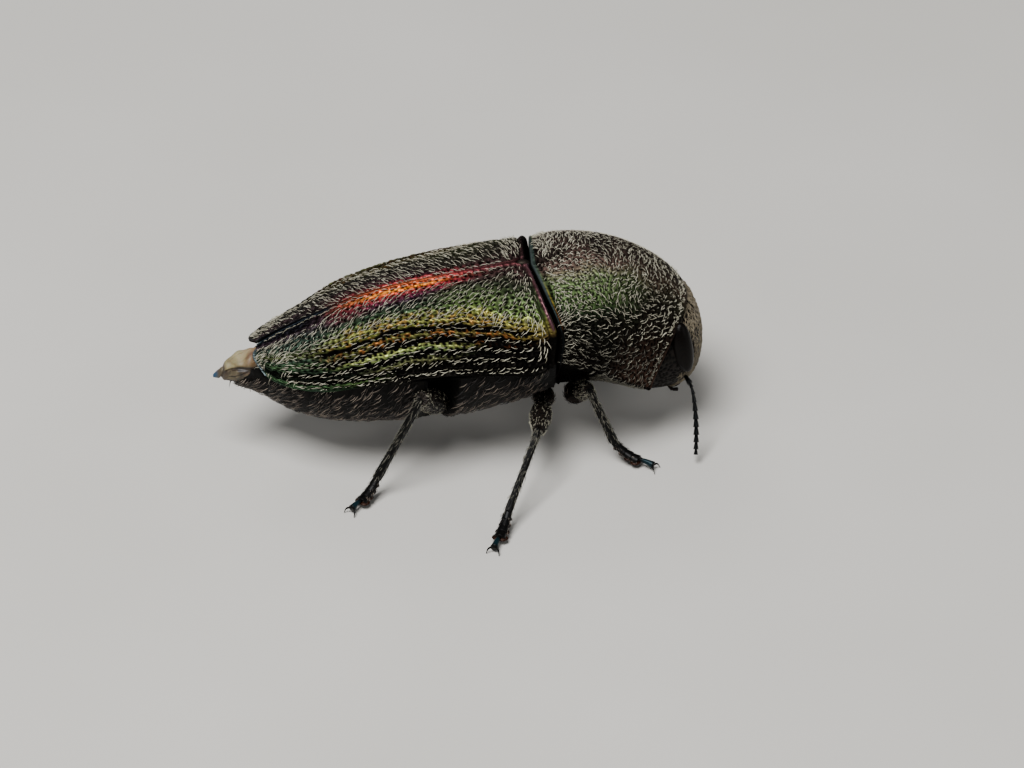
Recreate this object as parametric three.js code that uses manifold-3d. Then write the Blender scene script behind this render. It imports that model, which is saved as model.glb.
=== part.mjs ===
// A jewel beetle (family Buprestidae) at life size, standing still on six feet.
// Millimetres. +X is towards the head, +Y is the beetle's left and +Z is up.
// The origin is on the floor, under the middle of the beetle's length and width.
//
// The beetle is built from its own plates and joints: a hood-shaped prothorax, a thorax and
// an abdomen below, two wing cases above them, a head in a socket, and six legs that each
// have a coxa, a femur, a tibia and a tarsus with two claws.
import * as THREE from "three";
import { mergeVertices } from "three/addons/utils/BufferGeometryUtils.js";
import Module from "manifold-3d";

const wasm = await Module();
wasm.setup();

// ---- Driving dimensions -------------------------------------------------------------------

const HEAD_FRONT = 8; // the body is 16 mm long, from here to the tip of the tail
const TAIL_END = -8;
const RIM_HEIGHT = 4.14; // side rims of the wing cases above the floor
const SEAM = 0.06; // clearance between two plates that meet
const SHELL = 0.5; // thickness of a wing case

const BASE_X = 2.27; // where the wing cases meet the prothorax, on the midline
const SHOULDER_LEAD = 0.5; // how far the shoulders reach in front of that point
const BASE_GROOVE = 0.14; // open groove between the wing cases and the prothorax
const STERNUM_LEAD = 0.92; // how far the thorax reaches in front of it below, between the legs
const WAIST_X = -0.95; // where the thorax ends and the abdomen begins
const HIP_HOLLOW = 0.56; // reach of the hollow for the hind legs, before and behind the waist

// ---- Helpers ------------------------------------------------------------------------------

const { PI, abs, atan2, ceil, cos, floor, hypot, max, min, sign, sin } = Math;
const mix = THREE.MathUtils.lerp;
const smooth = THREE.MathUtils.smoothstep;
const spot = (x, y, z) => new THREE.Vector3(x, y, z);
const UP = spot(0, 0, 1);

// A smooth function through a few [x, y] knots, level before the first and after the last.
function curve(...knots) {
  const slope = knots.map((knot, i) => {
    const before = knots[max(i - 1, 0)];
    const after = knots[min(i + 1, knots.length - 1)];
    return (after[1] - before[1]) / (after[0] - before[0]);
  });
  return (x) => {
    if (x <= knots[0][0]) return knots[0][1];
    if (x >= knots.at(-1)[0]) return knots.at(-1)[1];
    const i = knots.findIndex((knot) => knot[0] > x) - 1;
    const span = knots[i + 1][0] - knots[i][0];
    const t = (x - knots[i][0]) / span;
    const leave = t * (1 - t) * (1 - t) * slope[i] * span;
    const arrive = t * t * (t - 1) * slope[i + 1] * span;
    return mix(knots[i][1], knots[i + 1][1], t * t * (3 - 2 * t)) + leave + arrive;
  };
}

// A three.js shape whose vertices are carried to new places by place(point).
function formed(shape, place) {
  shape.deleteAttribute("normal");
  shape.deleteAttribute("uv");
  const spots = shape.getAttribute("position");
  const point = new THREE.Vector3();
  for (let i = 0; i < spots.count; i++) {
    point.copy(place(point.fromBufferAttribute(spots, i)));
    spots.setXYZ(i, point.x, point.y, point.z);
  }
  return mergeVertices(shape, 1e-4);
}

// A closed form drawn out along a line. place(share, turn, edge) gives each point: share runs
// from 0 to 1 along the form, turn from 0 at its left over the top and round, and edge is 0
// only at the middle of the two ends.
function drawn(sides, stations, place) {
  const rod = new THREE.CylinderGeometry(1, 1, 1, sides, stations).rotateZ(-PI / 2).rotateX(PI / 2);
  const nudge = 1e-6; // keeps the first turn at 0 and not at 1
  return formed(rod, (p) => {
    const turn = (atan2(p.z, p.y) / (2 * PI) + 1 + nudge) % 1;
    return place(p.x + 0.5, turn, hypot(p.y, p.z) > 0.5 ? 1 : 0);
  });
}

// A ball with its own half sizes. A power above 2 makes it boxier.
function ball(centre, halves, power, sides, tiers, bend = (p) => p) {
  return formed(new THREE.SphereGeometry(1, sides, tiers), (p) => {
    const size = (abs(p.x) ** power + abs(p.y) ** power + abs(p.z) ** power) ** (1 / power);
    return bend(p.divideScalar(size).multiply(halves)).add(centre);
  });
}

// A limb from one joint to the next. girth(share) is its half thickness, wide is its width
// against its thickness, and spare grows it on every side, to cut the room that it needs.
function limb(from, to, girth, { sides = 8, stations = 5, wide = 1, spare = 0, bow = 0 } = {}) {
  const axis = to.clone().sub(from);
  const length = axis.length();
  axis.normalize();
  const across = UP.clone().cross(axis).normalize();
  const rise = axis.clone().cross(across);
  return drawn(sides, stations, (share, turn, edge) => {
    const size = edge * (girth(share) + spare);
    return from
      .clone()
      .addScaledVector(axis, mix(-spare, length + spare, share))
      .addScaledVector(across, size * wide * cos(turn * 2 * PI))
      .addScaledVector(rise, size * sin(turn * 2 * PI) + bow * sin(share * PI));
  });
}

// Joining and cutting closed forms.
function solid({ attributes, index }) {
  const { array } = attributes.position;
  const vertProperties = new Float32Array(array);
  const triVerts = new Uint32Array(index.array);
  return new wasm.Manifold(new wasm.Mesh({ numProp: 3, vertProperties, triVerts }));
}

function geometryOf(body) {
  const { vertProperties, triVerts } = body.getMesh();
  return new THREE.BufferGeometry()
    .setAttribute("position", new THREE.BufferAttribute(new Float32Array(vertProperties), 3))
    .setIndex(new THREE.BufferAttribute(new Uint32Array(triVerts), 1));
}

const cut = (form, tools) =>
  geometryOf(tools.reduce((rest, tool) => rest.subtract(solid(tool)), solid(form)));
const joined = (forms) =>
  geometryOf(forms.slice(1).reduce((whole, form) => whole.add(solid(form)), solid(forms[0])));

// The same form on the beetle's other side.
function mirrored(form) {
  const copy = form.clone().scale(1, -1, 1);
  const { array } = copy.index;
  for (let i = 0; i < array.length; i += 3) [array[i], array[i + 1]] = [array[i + 1], array[i]];
  return copy;
}

const beetle = new THREE.Group();

function add(name, form, material) {
  const mesh = new THREE.Mesh(form, material.clone());
  mesh.name = name;
  beetle.add(mesh);
}

// ---- Materials ----------------------------------------------------------------------------

const finish = (color, roughness, metalness) =>
  new THREE.MeshStandardMaterial({ color, roughness, metalness });
const GREEN_PLATE = finish(0x2f4a26, 0.35, 0.8); // wing cases, prothorax and scutellum
const DARK_PLATE = finish(0x2a2420, 0.5, 0.5); // underside, head and thighs
const BLACK_PLATE = finish(0x141416, 0.4, 0.5); // shins, feet and feelers
const EYE = finish(0x1a1410, 0.25, 0.1);
const PALE_SKIN = finish(0xa8977a, 0.6, 0); // soft last segment

// ---- Wing cases ---------------------------------------------------------------------------
// Heights here and in the trunk are measured from the rims, which lie near zero. Each case is
// a curved plate from the midline to its rim, with a rounded tip of its own.

const caseWidth = curve(
  [-6.75, 0.82], [-6.3, 1.48], [-5.82, 1.86], [-4.85, 2.44], [-4.2, 2.76],
  [-3.5, 3], [-1, 3.28], [1, 3.26], [2.2, 3.14], [2.8, 2.95],
);
const caseTop = curve(
  [-6.75, -0.08], [-5.74, 0.46], [-4.2, 1.1], [-3.3, 1.44], [-2.2, 1.7],
  [-0.9, 1.88], [0.8, 2.08], [2, 2.2], [2.8, 2.14],
);
const caseRim = curve(
  [-6.7, -0.4], [-5.8, -0.6], [-4.85, -0.54], [-3.5, -0.14], [-1, 0.14], [1, -0.12],
  [2.1, -0.28], [2.8, 0.05],
);
// The power of the section: 2 is an ellipse, and less is more like a tent.
const casePower = curve([-6.7, 1.6], [-5, 1.66], [-3, 1.72], [-1, 1.95], [0.6, 2.2], [2.8, 2.4]);
const caseShell = curve([-6.7, 0.14], [-5.4, 0.38], [-4.4, SHELL], [2.8, SHELL]);
const caseSeam = curve([-6.7, 0.1], [-5, 0.05], [-3.4, SEAM / 2], [1.75, SEAM / 2], [2.1, 0.2]);
const caseFront = curve([0, 0], [0.35, 0.2], [0.75, SHOULDER_LEAD], [1, SHOULDER_LEAD - 0.12]);
const caseBack = curve([0, -6.55], [0.35, -6.72], [0.65, -6.7], [1, -6.45]);

// A point of a section through the body: turn is 0 at the left, a quarter at the top.
function sectionPoint(turn, width, height, power) {
  const flat = (value) => sign(value) * abs(value) ** (2 / power);
  return [width * flat(cos(turn * 2 * PI)), height * flat(sin(turn * 2 * PI))];
}

function wingCase() {
  return formed(new THREE.BoxGeometry(1, 1, 1, 18, 10, 1), (p) => {
    const across = p.y + 0.5; // from the midline to the rim
    const x = mix(caseBack(across), BASE_X + caseFront(across), p.x + 0.5);
    const depth = p.z > 0 ? 0 : caseShell(x);
    const seam = caseSeam(x);
    const width = caseWidth(x) - depth - seam;
    const [side, rise] = sectionPoint((1 - across) / 4, width, 1, casePower(x));
    return spot(x, seam + side, mix(caseRim(x), caseTop(x) - depth, rise) + RIM_HEIGHT);
  });
}

const leftCase = wingCase();
add("elytron_left", leftCase, GREEN_PLATE);
add("elytron_right", mirrored(leftCase), GREEN_PLATE);

// The scutellum is a small shield between the wing cases and the prothorax.
const shield = ball(spot(BASE_X - 0.14, 0, RIM_HEIGHT + 1.98), spot(0.24, 0.15, 0.2), 2.4, 10, 6);
add("scutellum", shield, GREEN_PLATE);

// ---- Legs ---------------------------------------------------------------------------------
// Each row gives the joints of the right leg, with y as the distance from the midline. The
// left leg has its foot moved forwards by stride.

const LEGS = [
  {
    name: "front", thigh: 0.36, stride: 0.25,
    hip: [3.7, 0.85, 1.5], knee: [3.85, 2.45, 2.72], ankle: [4.65, 2.72, 0.72], toe: [5.86, 3.56, 0.2],
  },
  {
    name: "middle", thigh: 0.42, stride: 0,
    hip: [2.65, 0.95, 1.55], knee: [2, 3.72, 2.25], ankle: [0.62, 5.83, 0.66], toe: [-0.06, 7.05, 0.2],
  },
  {
    name: "hind", thigh: 0.45, stride: 0.3,
    hip: [-0.5, 0.9, 1.56], knee: [-1.7, 3.17, 3.5], ankle: [-3.23, 3.4, 0.71], toe: [-4.2, 4.2, 0.2],
  },
];
const COXA = 0.43; // half size of a coxa
const SHIN = 0.25; // half thickness of a tibia
const PADS = 4; // lobed tarsomeres before the one that carries the claws
const CLAW = 0.34; // length of a claw

const thighGirth = curve([0, 0.5], [0.2, 0.78], [0.5, 1], [0.85, 0.8], [1, 0.62]);
const shinGirth = curve([0, 0.88], [0.3, 1], [0.8, 1.05], [1, 1.15]);

// A tarsus: each tarsomere widens towards a lobed pad, and a slender one ends in the claws.
function tarsusGirth(share) {
  const pads = 0.68; // share of the tarsus that the pads take
  if (share > pads) return mix(0.17, 0.2, (share - pads) / (1 - pads));
  const place = (share / pads) * PADS;
  return mix(0.17, 0.29, place - floor(place));
}

const above = (p) => p.setZ(max(p.z, 0)); // feet are flat where they meet the floor

function tarsus(ankle, toe) {
  const ahead = toe.clone().sub(ankle).setZ(0).normalize();
  const beside = UP.clone().cross(ahead);
  const heel = ankle.clone().lerp(toe, 0.35).setZ(0.1);
  const path = new THREE.QuadraticBezierCurve3(ankle, heel, toe);
  const foot = drawn(6, 10, (share, turn, edge) => {
    const size = edge * tarsusGirth(share + 0.02);
    const rise = spot(0, 0, 1).addScaledVector(ahead, 1 - share).normalize();
    return above(
      path
        .getPoint(share)
        .addScaledVector(beside, size * cos(turn * 2 * PI))
        .addScaledVector(rise, 0.85 * size * sin(turn * 2 * PI)),
    );
  });
  const claws = [-1, 1].map((side) => {
    const root = toe.clone().addScaledVector(ahead, -0.08);
    const tip = root.clone().addScaledVector(ahead, CLAW).addScaledVector(beside, side * 0.2);
    const girth = (share) => mix(0.12, 0.07, share);
    return formed(limb(root, tip.setZ(0.06), girth, { sides: 5, stations: 2, bow: 0.07 }), above);
  });
  return joined([foot, ...claws]);
}

const hips = []; // room for the coxae and thighs, cut from the plates that carry them

for (const { name, hip, knee, ankle, toe, thigh, stride } of LEGS) {
  for (const [side, label] of [[-1, "right"], [1, "left"]]) {
    const step = side > 0 ? stride : 0;
    const joints = [[hip, 0], [knee, 0.3], [ankle, 0.9], [toe, 1]];
    const [hipAt, kneeAt, ankleAt, toeAt] = joints.map(([[x, y, z], share]) =>
      spot(x + step * share, side * y, z),
    );
    const root = hipAt.clone().lerp(kneeAt, (COXA + SEAM) / hipAt.distanceTo(kneeAt));
    const thighOf = (spare) =>
      limb(root, kneeAt, (share) => thigh * thighGirth(share), { spare, wide: 0.85 });
    const shinOf = (spare) =>
      limb(kneeAt, ankleAt, (share) => SHIN * shinGirth(share), { spare, stations: 4 });
    const coxaOf = (spare) =>
      ball(hipAt, spot(COXA + spare, COXA * 1.15 + spare, COXA + spare), 2, 8, 5);
    add(`coxa_${name}_${label}`, cut(coxaOf(0), [thighOf(SEAM)]), DARK_PLATE);
    add(`femur_${name}_${label}`, thighOf(0), DARK_PLATE);
    add(`tibia_${name}_${label}`, cut(shinOf(0), [thighOf(SEAM)]), BLACK_PLATE);
    add(`tarsus_${name}_${label}`, cut(tarsus(ankleAt, toeAt), [shinOf(SEAM)]), BLACK_PLATE);
    hips.push(coxaOf(SEAM), thighOf(SEAM));
  }
}

// ---- Trunk --------------------------------------------------------------------------------
// The thorax and the abdomen share one section. It fills the wing cases above the rims, steps
// out under them, and is a deep belly below.

const SIDES = 28;
const bellyWidth = curve(
  [-7.4, 0.2], [-7.1, 0.55], [-6.7, 0.82], [-6.3, 1.12], [-5.7, 1.72], [-4.8, 2.32],
  [-3.5, 2.86], [-1, 3.14], [1, 3.1], [2.8, 2.85],
);
const bellyDepth = curve(
  [-7.4, 1.38], [-7.1, 1.56], [-6.7, 1.74], [-6, 2.2], [-5, 2.6], [-3.8, 2.82],
  [-1.6, 2.92], [0.4, 2.95], [2, 2.92], [2.8, 2.88],
);
const bellyPower = curve([-7.4, 2], [-0.4, 2], [1.2, 1.65], [2.4, 1.35]); // hollower in front
const tailDrop = curve([-7.4, -1.06], [-6.8, -0.9], [-6.2, -0.68], [-5.5, -0.4], [-5, 0]);
const tailTop = curve(
  [-7.4, -0.96], [-6.8, -0.56], [-6.3, -0.34], [-5.6, 0.02], [-5, 0.6], [-4.4, 2],
);
const FIRST_STERNITE = -1.5;
const STERNITE = 1.2; // length of each plate under the abdomen
const STERNITE_STEP = 0.07; // each plate stands out over the next

const rimUnder = (x) => min(caseRim(x), tailDrop(x)) - SEAM;

function trunkPoint(x, turn, edge) {
  const rim = rimUnder(x);
  if (!edge) return spot(x, 0, rim + RIM_HEIGHT);
  if (turn < 0.5 + 0.5 / SIDES) {
    const inside = caseShell(x) + SEAM;
    const top = min(caseTop(x) - inside, tailTop(x));
    const [y, rise] = sectionPoint(turn, min(caseWidth(x) - inside, bellyWidth(x)), 1, casePower(x));
    return spot(x, y, mix(rim, top, max(rise, 0)) + RIM_HEIGHT);
  }
  const under = 0.5 + (0.5 * (turn - 0.5 - 1 / SIDES)) / (0.5 - 2 / SIDES); // from side to side below
  const plates = (FIRST_STERNITE - x) / STERNITE;
  const step = plates > 0 ? STERNITE_STEP * (plates - ceil(plates)) : 0;
  const [y, drop] = sectionPoint(under, bellyWidth(x) + step, 1, bellyPower(x));
  return spot(x, y, mix(rim, step - bellyDepth(x), max(-drop, 0)) + RIM_HEIGHT);
}

// The hollow of the hips is open at each side and closes towards the middle of the belly.
const hollow = (turn) => (turn > 0.5 ? smooth(abs(turn - 0.75), 0.05, 0.13) * HIP_HOLLOW : 0);

// The front of the thorax follows the base of the prothorax.
const baseLead = (turn) => mix(STERNUM_LEAD, SHOULDER_LEAD - 0.12, abs(cos(turn * 2 * PI)));
const thoraxFront = (turn) => BASE_X + (turn > 0.5 ? BASE_GROOVE - SEAM + baseLead(turn) : 0);

const thorax = drawn(SIDES, 5, (share, turn, edge) =>
  trunkPoint(mix(WAIST_X + edge * hollow(turn), edge ? thoraxFront(turn) : BASE_X, share), turn, edge),
);
add("thorax", cut(thorax, hips), DARK_PLATE);

// The last segment is a soft cone that stands out beyond the wing cases.
const tailHeight = curve([TAIL_END, -1.16], [-7.5, -0.98], [-7, -0.9], [-6.4, -0.86]);
const tailGirth = curve([TAIL_END, 0.06], [-7.85, 0.18], [-7.5, 0.4], [-7.05, 0.62], [-6.4, 0.64]);
const tail = (spare) =>
  drawn(12, 6, (share, turn, edge) => {
    const x = mix(TAIL_END - spare, -6.4 + spare, share);
    const [y, z] = sectionPoint(turn, edge * (tailGirth(x) + spare), edge * (tailGirth(x) + spare), 2);
    return spot(x, y, z + tailHeight(x) + RIM_HEIGHT);
  });
add("pygidium", tail(0), PALE_SKIN);

const abdomen = drawn(SIDES, 13, (share, turn, edge) =>
  trunkPoint(mix(-7.4, WAIST_X - SEAM - edge * hollow(turn), share), turn, edge),
);
add("abdomen", cut(abdomen, [...hips, tail(SEAM)]), DARK_PLATE);

// ---- Head ---------------------------------------------------------------------------------
// The head hangs in the prothorax and fills its mouth. The face is upright and flat, narrows
// towards the jaws and is shorter below its centre than above.

const HEAD_CENTRE = spot(6.48, 0, 2.75);
const CHIN = 0.8; // height of the lower half of the head against the upper half
const headHalves = (spare) =>
  spot(HEAD_FRONT - HEAD_CENTRE.x - 0.01 + spare, 2.15 + spare, 2.1 + spare);
const faceTaper = curve([-2.1, 0.6], [-0.7, 0.84], [0.4, 1]);
const headForm = (spare) =>
  ball(HEAD_CENTRE, headHalves(spare), 2.5, 16, 10, (p) =>
    spot(p.x + 0.08 * p.z, p.y * faceTaper(p.z), p.z < 0 ? p.z * CHIN : p.z),
  );

const EYE_CENTRE = spot(7.08, 1.84, 3.55);
const eyeOf = (side, spare) =>
  ball(
    EYE_CENTRE.clone().multiply(spot(1, side, 1)),
    spot(0.36 + spare, 0.3 + spare, 0.85 + spare),
    2, 10, 6,
    (p) => p.add(spot(-0.12 * p.z, -0.18 * side * p.z, 0)),
  );

// The jaws and the lip above them are one small block at the lower end of the face.
const jaws = ball(spot(7.12, 0, 1.24), spot(0.38, 0.62, 0.38), 2.5, 12, 8);

// ---- Antennae -----------------------------------------------------------------------------
// Eleven joints. The first is the longest, and from the fourth on each one is a tooth.

const FEELER_JOINTS = 11;
const feelerRoute = [
  [7.2, 1.42, 2.2], [7.34, 2.02, 2.05], [7.36, 2.5, 1.55], [7.32, 2.95, 0.95], [7.22, 3.4, 0.36],
];

function antenna(side, spare) {
  const route = new THREE.CatmullRomCurve3(feelerRoute.map(([x, y, z]) => spot(x, side * y, z)));
  return drawn(6, FEELER_JOINTS * 2, (share, turn, edge) => {
    const joint = share * FEELER_JOINTS + 0.01;
    const tooth = mix(0.19, 0.26, joint % 1 > 0.4 ? 1 : 0);
    const axis = route.getTangent(share);
    const across = UP.clone().cross(axis).normalize();
    const size = edge * (tooth + spare);
    return route
      .getPoint(share)
      .addScaledVector(axis.clone(), edge ? 0 : (share - 0.5) * 0.1)
      .addScaledVector(across, size * cos(turn * 2 * PI))
      .addScaledVector(axis.cross(across), size * sin(turn * 2 * PI));
  });
}

const eyes = [[-1, "right"], [1, "left"]];
for (const [side, label] of eyes) {
  add(`eye_${label}`, eyeOf(side, 0), EYE);
  add(`antenna_${label}`, antenna(side, 0), BLACK_PLATE);
}
add("mouthparts", cut(jaws, [headForm(SEAM)]), BLACK_PLATE);
const sockets = eyes.flatMap(([side]) => [eyeOf(side, SEAM), antenna(side, SEAM)]);
add("head", cut(headForm(0), sockets), DARK_PLATE);

// ---- Prothorax ----------------------------------------------------------------------------
// A high hood over the head. Its side edges slope down to the front, its mouth is slanted,
// and underneath it is hollowed towards the front legs.

const hoodTop = curve(
  [2.4, 2.0], [2.75, 2.2], [3.5, 2.42], [4.7, 2.48], [5.6, 2.28], [6.4, 1.82],
  [7.1, 1.16], [7.5, 0.58],
);
const hoodSide = curve(
  [2.7, 0.15], [3.57, -0.12], [4.6, -0.73], [5.14, -1.14], [5.93, -1.7], [7.5, -2.5],
);
const hoodWidth = curve(
  [2.4, 2.98], [2.8, 3.12], [3.4, 3.22], [4.4, 3.1], [5.3, 2.74], [5.93, 2.44],
  [6.8, 2.4], [7.5, 2.35],
);
const hoodPower = 2.1;
const hoodDepth = curve([2.4, 2.88], [3.6, 2.9], [5, 2.95], [6, 2.9]);
const hoodBelow = curve([2.4, 1.3], [3, 0.98], [4.4, 1], [6, 1.35]);
const MOUTH_TOP = 7.46; // how far forward the hood reaches above the head
const MOUTH_CORNER = 5.93; // and at the lower end of its side edges

function hoodFront(turn) {
  if (turn > 0.5) return MOUTH_CORNER;
  return mix(MOUTH_CORNER, MOUTH_TOP, sin(turn * 2 * PI) ** 1.1);
}

function hoodBack(turn) {
  const share = 1 - 4 * abs(turn < 0.5 ? min(turn, 0.5 - turn) : 0); // from the midline to the side
  return BASE_X + BASE_GROOVE + (turn < 0.5 ? caseFront(share) : baseLead(turn));
}

const hood = drawn(SIDES, 10, (share, turn, edge) => {
  const ends = edge ? [hoodBack(turn), hoodFront(turn)] : [BASE_X + BASE_GROOVE, MOUTH_CORNER - 0.5];
  const x = mix(...ends, share);
  const side = hoodSide(x);
  if (!edge) return spot(x, 0, side + RIM_HEIGHT);
  const [y, rise] = sectionPoint(turn, hoodWidth(x), 1, turn > 0.5 ? hoodBelow(x) : hoodPower);
  return spot(x, y, mix(side, rise > 0 ? hoodTop(x) : -hoodDepth(x), abs(rise)) + RIM_HEIGHT);
});
const headRoom = [headForm(SEAM), ...sockets];
add("prothorax", cut(hood, [...hips, ...headRoom]), GREEN_PLATE);

export default beetle;
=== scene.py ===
import bmesh
import bpy
import numpy as np
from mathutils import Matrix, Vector


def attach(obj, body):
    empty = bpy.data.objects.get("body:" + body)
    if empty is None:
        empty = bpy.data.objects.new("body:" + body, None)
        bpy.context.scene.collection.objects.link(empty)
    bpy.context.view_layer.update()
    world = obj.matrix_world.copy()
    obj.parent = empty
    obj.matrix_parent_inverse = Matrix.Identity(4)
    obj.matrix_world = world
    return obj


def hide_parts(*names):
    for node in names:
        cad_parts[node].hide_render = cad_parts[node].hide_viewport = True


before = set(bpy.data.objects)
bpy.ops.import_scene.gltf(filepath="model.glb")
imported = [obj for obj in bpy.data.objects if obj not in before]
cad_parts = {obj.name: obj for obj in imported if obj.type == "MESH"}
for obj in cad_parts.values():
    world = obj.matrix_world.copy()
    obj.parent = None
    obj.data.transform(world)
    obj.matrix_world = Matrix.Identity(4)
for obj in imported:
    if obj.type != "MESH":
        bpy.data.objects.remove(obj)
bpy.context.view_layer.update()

MM = 0.001
PER_MM = 1 / MM  # a pattern's scale is how many times it repeats in a millimetre

# ---- Floor, light and camera ---------------------------------------------------------------
# A pale painted board, one large soft light above the beetle's back, a weaker one from the
# front, and a lens of long reach that looks down on the right side.

FLOOR_HALF = 400
AIM = (1.569, -1.177, 2.311)  # the point that the lens looks at
CAMERA_REACH = 160
LENS_LENGTH = 173.8
TURN_OF_VIEW = (-0.142, -0.807, 0.574)


def linear(code):
    """The linear colour of an sRGB hex code."""
    parts = [int(code[i : i + 2], 16) / 255 for i in (1, 3, 5)]
    return [p / 12.92 if p <= 0.04045 else ((p + 0.055) / 1.055) ** 2.4 for p in parts] + [1]


def add_node(material, kind, links=(), stops=(), gives=0, **settings):
    """Adds a shader node with its settings, ramp stops and links, and gives one of its outputs."""
    tree = material.node_tree
    node = tree.nodes.new("ShaderNode" + kind)
    for name, value in settings.items():
        if hasattr(node, name):
            setattr(node, name, value)
        else:
            node.inputs[name.replace("_", " ")].default_value = value
    if stops:
        elements = node.color_ramp.elements
        while len(elements) < len(stops):
            elements.new(0.5)
        for element, (place, code) in zip(elements, stops):
            element.position = place
            element.color = linear(code) if isinstance(code, str) else (code, code, code, 1)
    for socket, source in links:
        tree.links.new(source, node.inputs[socket])
    return node.outputs[gives]


def new_material(name, **settings):
    """A material with a Principled shader, whose even values sit on its own sockets."""
    material = bpy.data.materials.new(name)
    material.use_nodes = True
    shader = material.node_tree.nodes["Principled BSDF"]
    for socket, value in settings.items():
        shader.inputs[socket.replace("_", " ")].default_value = value
    return material


def feed(material, **sources):
    """Links sources to the sockets of the material's shader."""
    shader = material.node_tree.nodes["Principled BSDF"]
    for socket, source in sources.items():
        material.node_tree.links.new(source, shader.inputs[socket.replace("_", " ")])


# Matt emulsion paint on a board: even and pale, with a faint mottle.
paint = new_material("matt_emulsion_paint", Roughness=0.85)
spot = add_node(paint, "TexCoord", gives="Object")
mottle = add_node(paint, "TexNoise", [("Vector", spot)], Scale=0.06 * PER_MM, Detail=3)
pale = add_node(paint, "ValToRGB", [("Fac", mottle)], [(0.3, "#cfccc5"), (0.7, "#d7d4ce")])
feed(paint, Base_Color=pale)

bm = bmesh.new()
bmesh.ops.create_grid(bm, x_segments=4, y_segments=4, size=FLOOR_HALF * MM)
board = bpy.data.meshes.new("floor")
bm.to_mesh(board)
bm.free()
board.materials.append(paint)
floor = bpy.data.objects.new("floor", board)
bpy.context.scene.collection.objects.link(floor)

LIGHTS = [  # name, place, width and power
    ("softbox_above", (-50, -60, 170), 90, 0.48),
    ("softbox_front", (150, -110, 90), 100, 0.05),
    ("softbox_behind", (-30, 160, 120), 110, 0.08),
]
for name, place, width, power in LIGHTS:
    light = bpy.data.lights.new(name, "AREA")
    light.size = width * MM
    light.energy = power
    lamp = bpy.data.objects.new(name, light)
    lamp.location = Vector(place) * MM
    lamp.rotation_euler = (-Vector(place)).to_track_quat("-Z", "Y").to_euler()
    bpy.context.scene.collection.objects.link(lamp)

world = bpy.data.worlds.new("studio")
world.use_nodes = True
world.node_tree.nodes["Background"].inputs["Color"].default_value = linear("#c9ccd0")
world.node_tree.nodes["Background"].inputs["Strength"].default_value = 0.15
bpy.context.scene.world = world

lens = bpy.data.cameras.new("camera")
lens.lens = LENS_LENGTH
lens.clip_start = 10 * MM
lens.clip_end = 5
camera = bpy.data.objects.new("camera", lens)
toward = Vector(TURN_OF_VIEW).normalized()
camera.location = (Vector(AIM) + toward * CAMERA_REACH) * MM
camera.rotation_euler = (-toward).to_track_quat("-Z", "Y").to_euler()
bpy.context.scene.collection.objects.link(camera)
bpy.context.scene.camera = camera

# ---- Wing cases ----------------------------------------------------------------------------
# Two hard plates of metallic cuticle, hinged at their base, that meet in a raised seam. Each
# has ribs that run to the tip, furrows with rows of punctures beside them, and a smooth rim
# on every edge.

RIM = 4.14  # height of the rims above the floor
SEAM = 0.06  # gap between neighbouring plates
SHELL = 0.5  # thickness of the solid wing cases
COAT = 0.09  # how deep the skin lies under the tips of the hairs
BASE_X = 2.27  # where the wing cases meet the prothorax
CASE_GRID = (190, 420)
LINING_STEP = 5  # the inner face has one face for this many of the outer one, each way
CASE_LENGTH = 9.1
CASE_ARC = 4.6
RIB_PITCH = 0.12  # share of the width from one rib to the next
FIRST_RIB = 0.42
ROWS = RIB_PITCH / 3  # from one row of punctures to the next: two beside each rib, one between
FIRST_ROW = FIRST_RIB - 2 * ROWS
PIT = 0.165  # distance between the punctures of the disc
PIT_SCATTER = (0.85, 4)  # how loosely they lie, and the seed of their places
ROW_PIT = 0.18  # the same for the punctures along the rows
ROW_SCATTER = (0.55, 3)
SEAM_RIM = 0.014  # share of the width that the rim at the seam takes
RIM_RISE = 0.05
GROOVE_DEPTH = 0.05
PIT_DEPTH = 0.06
FURROW_DEPTH = 0.12
UPPER_EDGE = (0.66, 0.76)  # where the upper part of the left case, seen edge-on, ends
LINING_DROP = 0.05  # keeps the two grids of a wing case apart until they are shaped
LINING_SHARE = 0.9  # how far through the thickness of the shell the inner face lies


def curve(*knots):
    """A smooth function through a few (x, y) knots, level before the first and after the last."""
    xs, ys = np.array(knots, float).T
    ends = np.r_[0, np.arange(len(xs)), len(xs) - 1]
    slopes = (ys[ends[2:]] - ys[ends[:-2]]) / (xs[ends[2:]] - xs[ends[:-2]])

    def at(x):
        x = np.clip(x, xs[0], xs[-1])
        i = np.clip(np.searchsorted(xs, x, side="right") - 1, 0, len(xs) - 2)
        span = xs[i + 1] - xs[i]
        t = (x - xs[i]) / span
        bend = t * (1 - t) * span * ((1 - t) * slopes[i] - t * slopes[i + 1])
        return ys[i] + (ys[i + 1] - ys[i]) * t * t * (3 - 2 * t) + bend

    return at


def mix(a, b, share):
    return a + (b - a) * share


def smooth(x, low, high):
    t = np.clip((x - low) / (high - low), 0, 1)
    return t * t * (3 - 2 * t)


def bump(x, centre, half):
    """1 at the centre and 0 beyond half on both sides."""
    return 1 - smooth(np.abs(x - centre), 0, half)


def spots(x, y, z):
    return np.stack(np.broadcast_arrays(x, y, z), axis=-1).astype(float)


def section(turn, width, height, power):
    """A point of a section through the body: turn is 0 at the left and a quarter on top."""
    across, up = np.cos(turn * 2 * np.pi), np.sin(turn * 2 * np.pi)
    side = width * np.sign(across) * np.abs(across) ** (2 / power)
    return side, height * np.sign(up) * np.abs(up) ** (2 / power)


def unit(vectors):
    return vectors / np.maximum(np.linalg.norm(vectors, axis=-1, keepdims=True), 1e-12)


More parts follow.
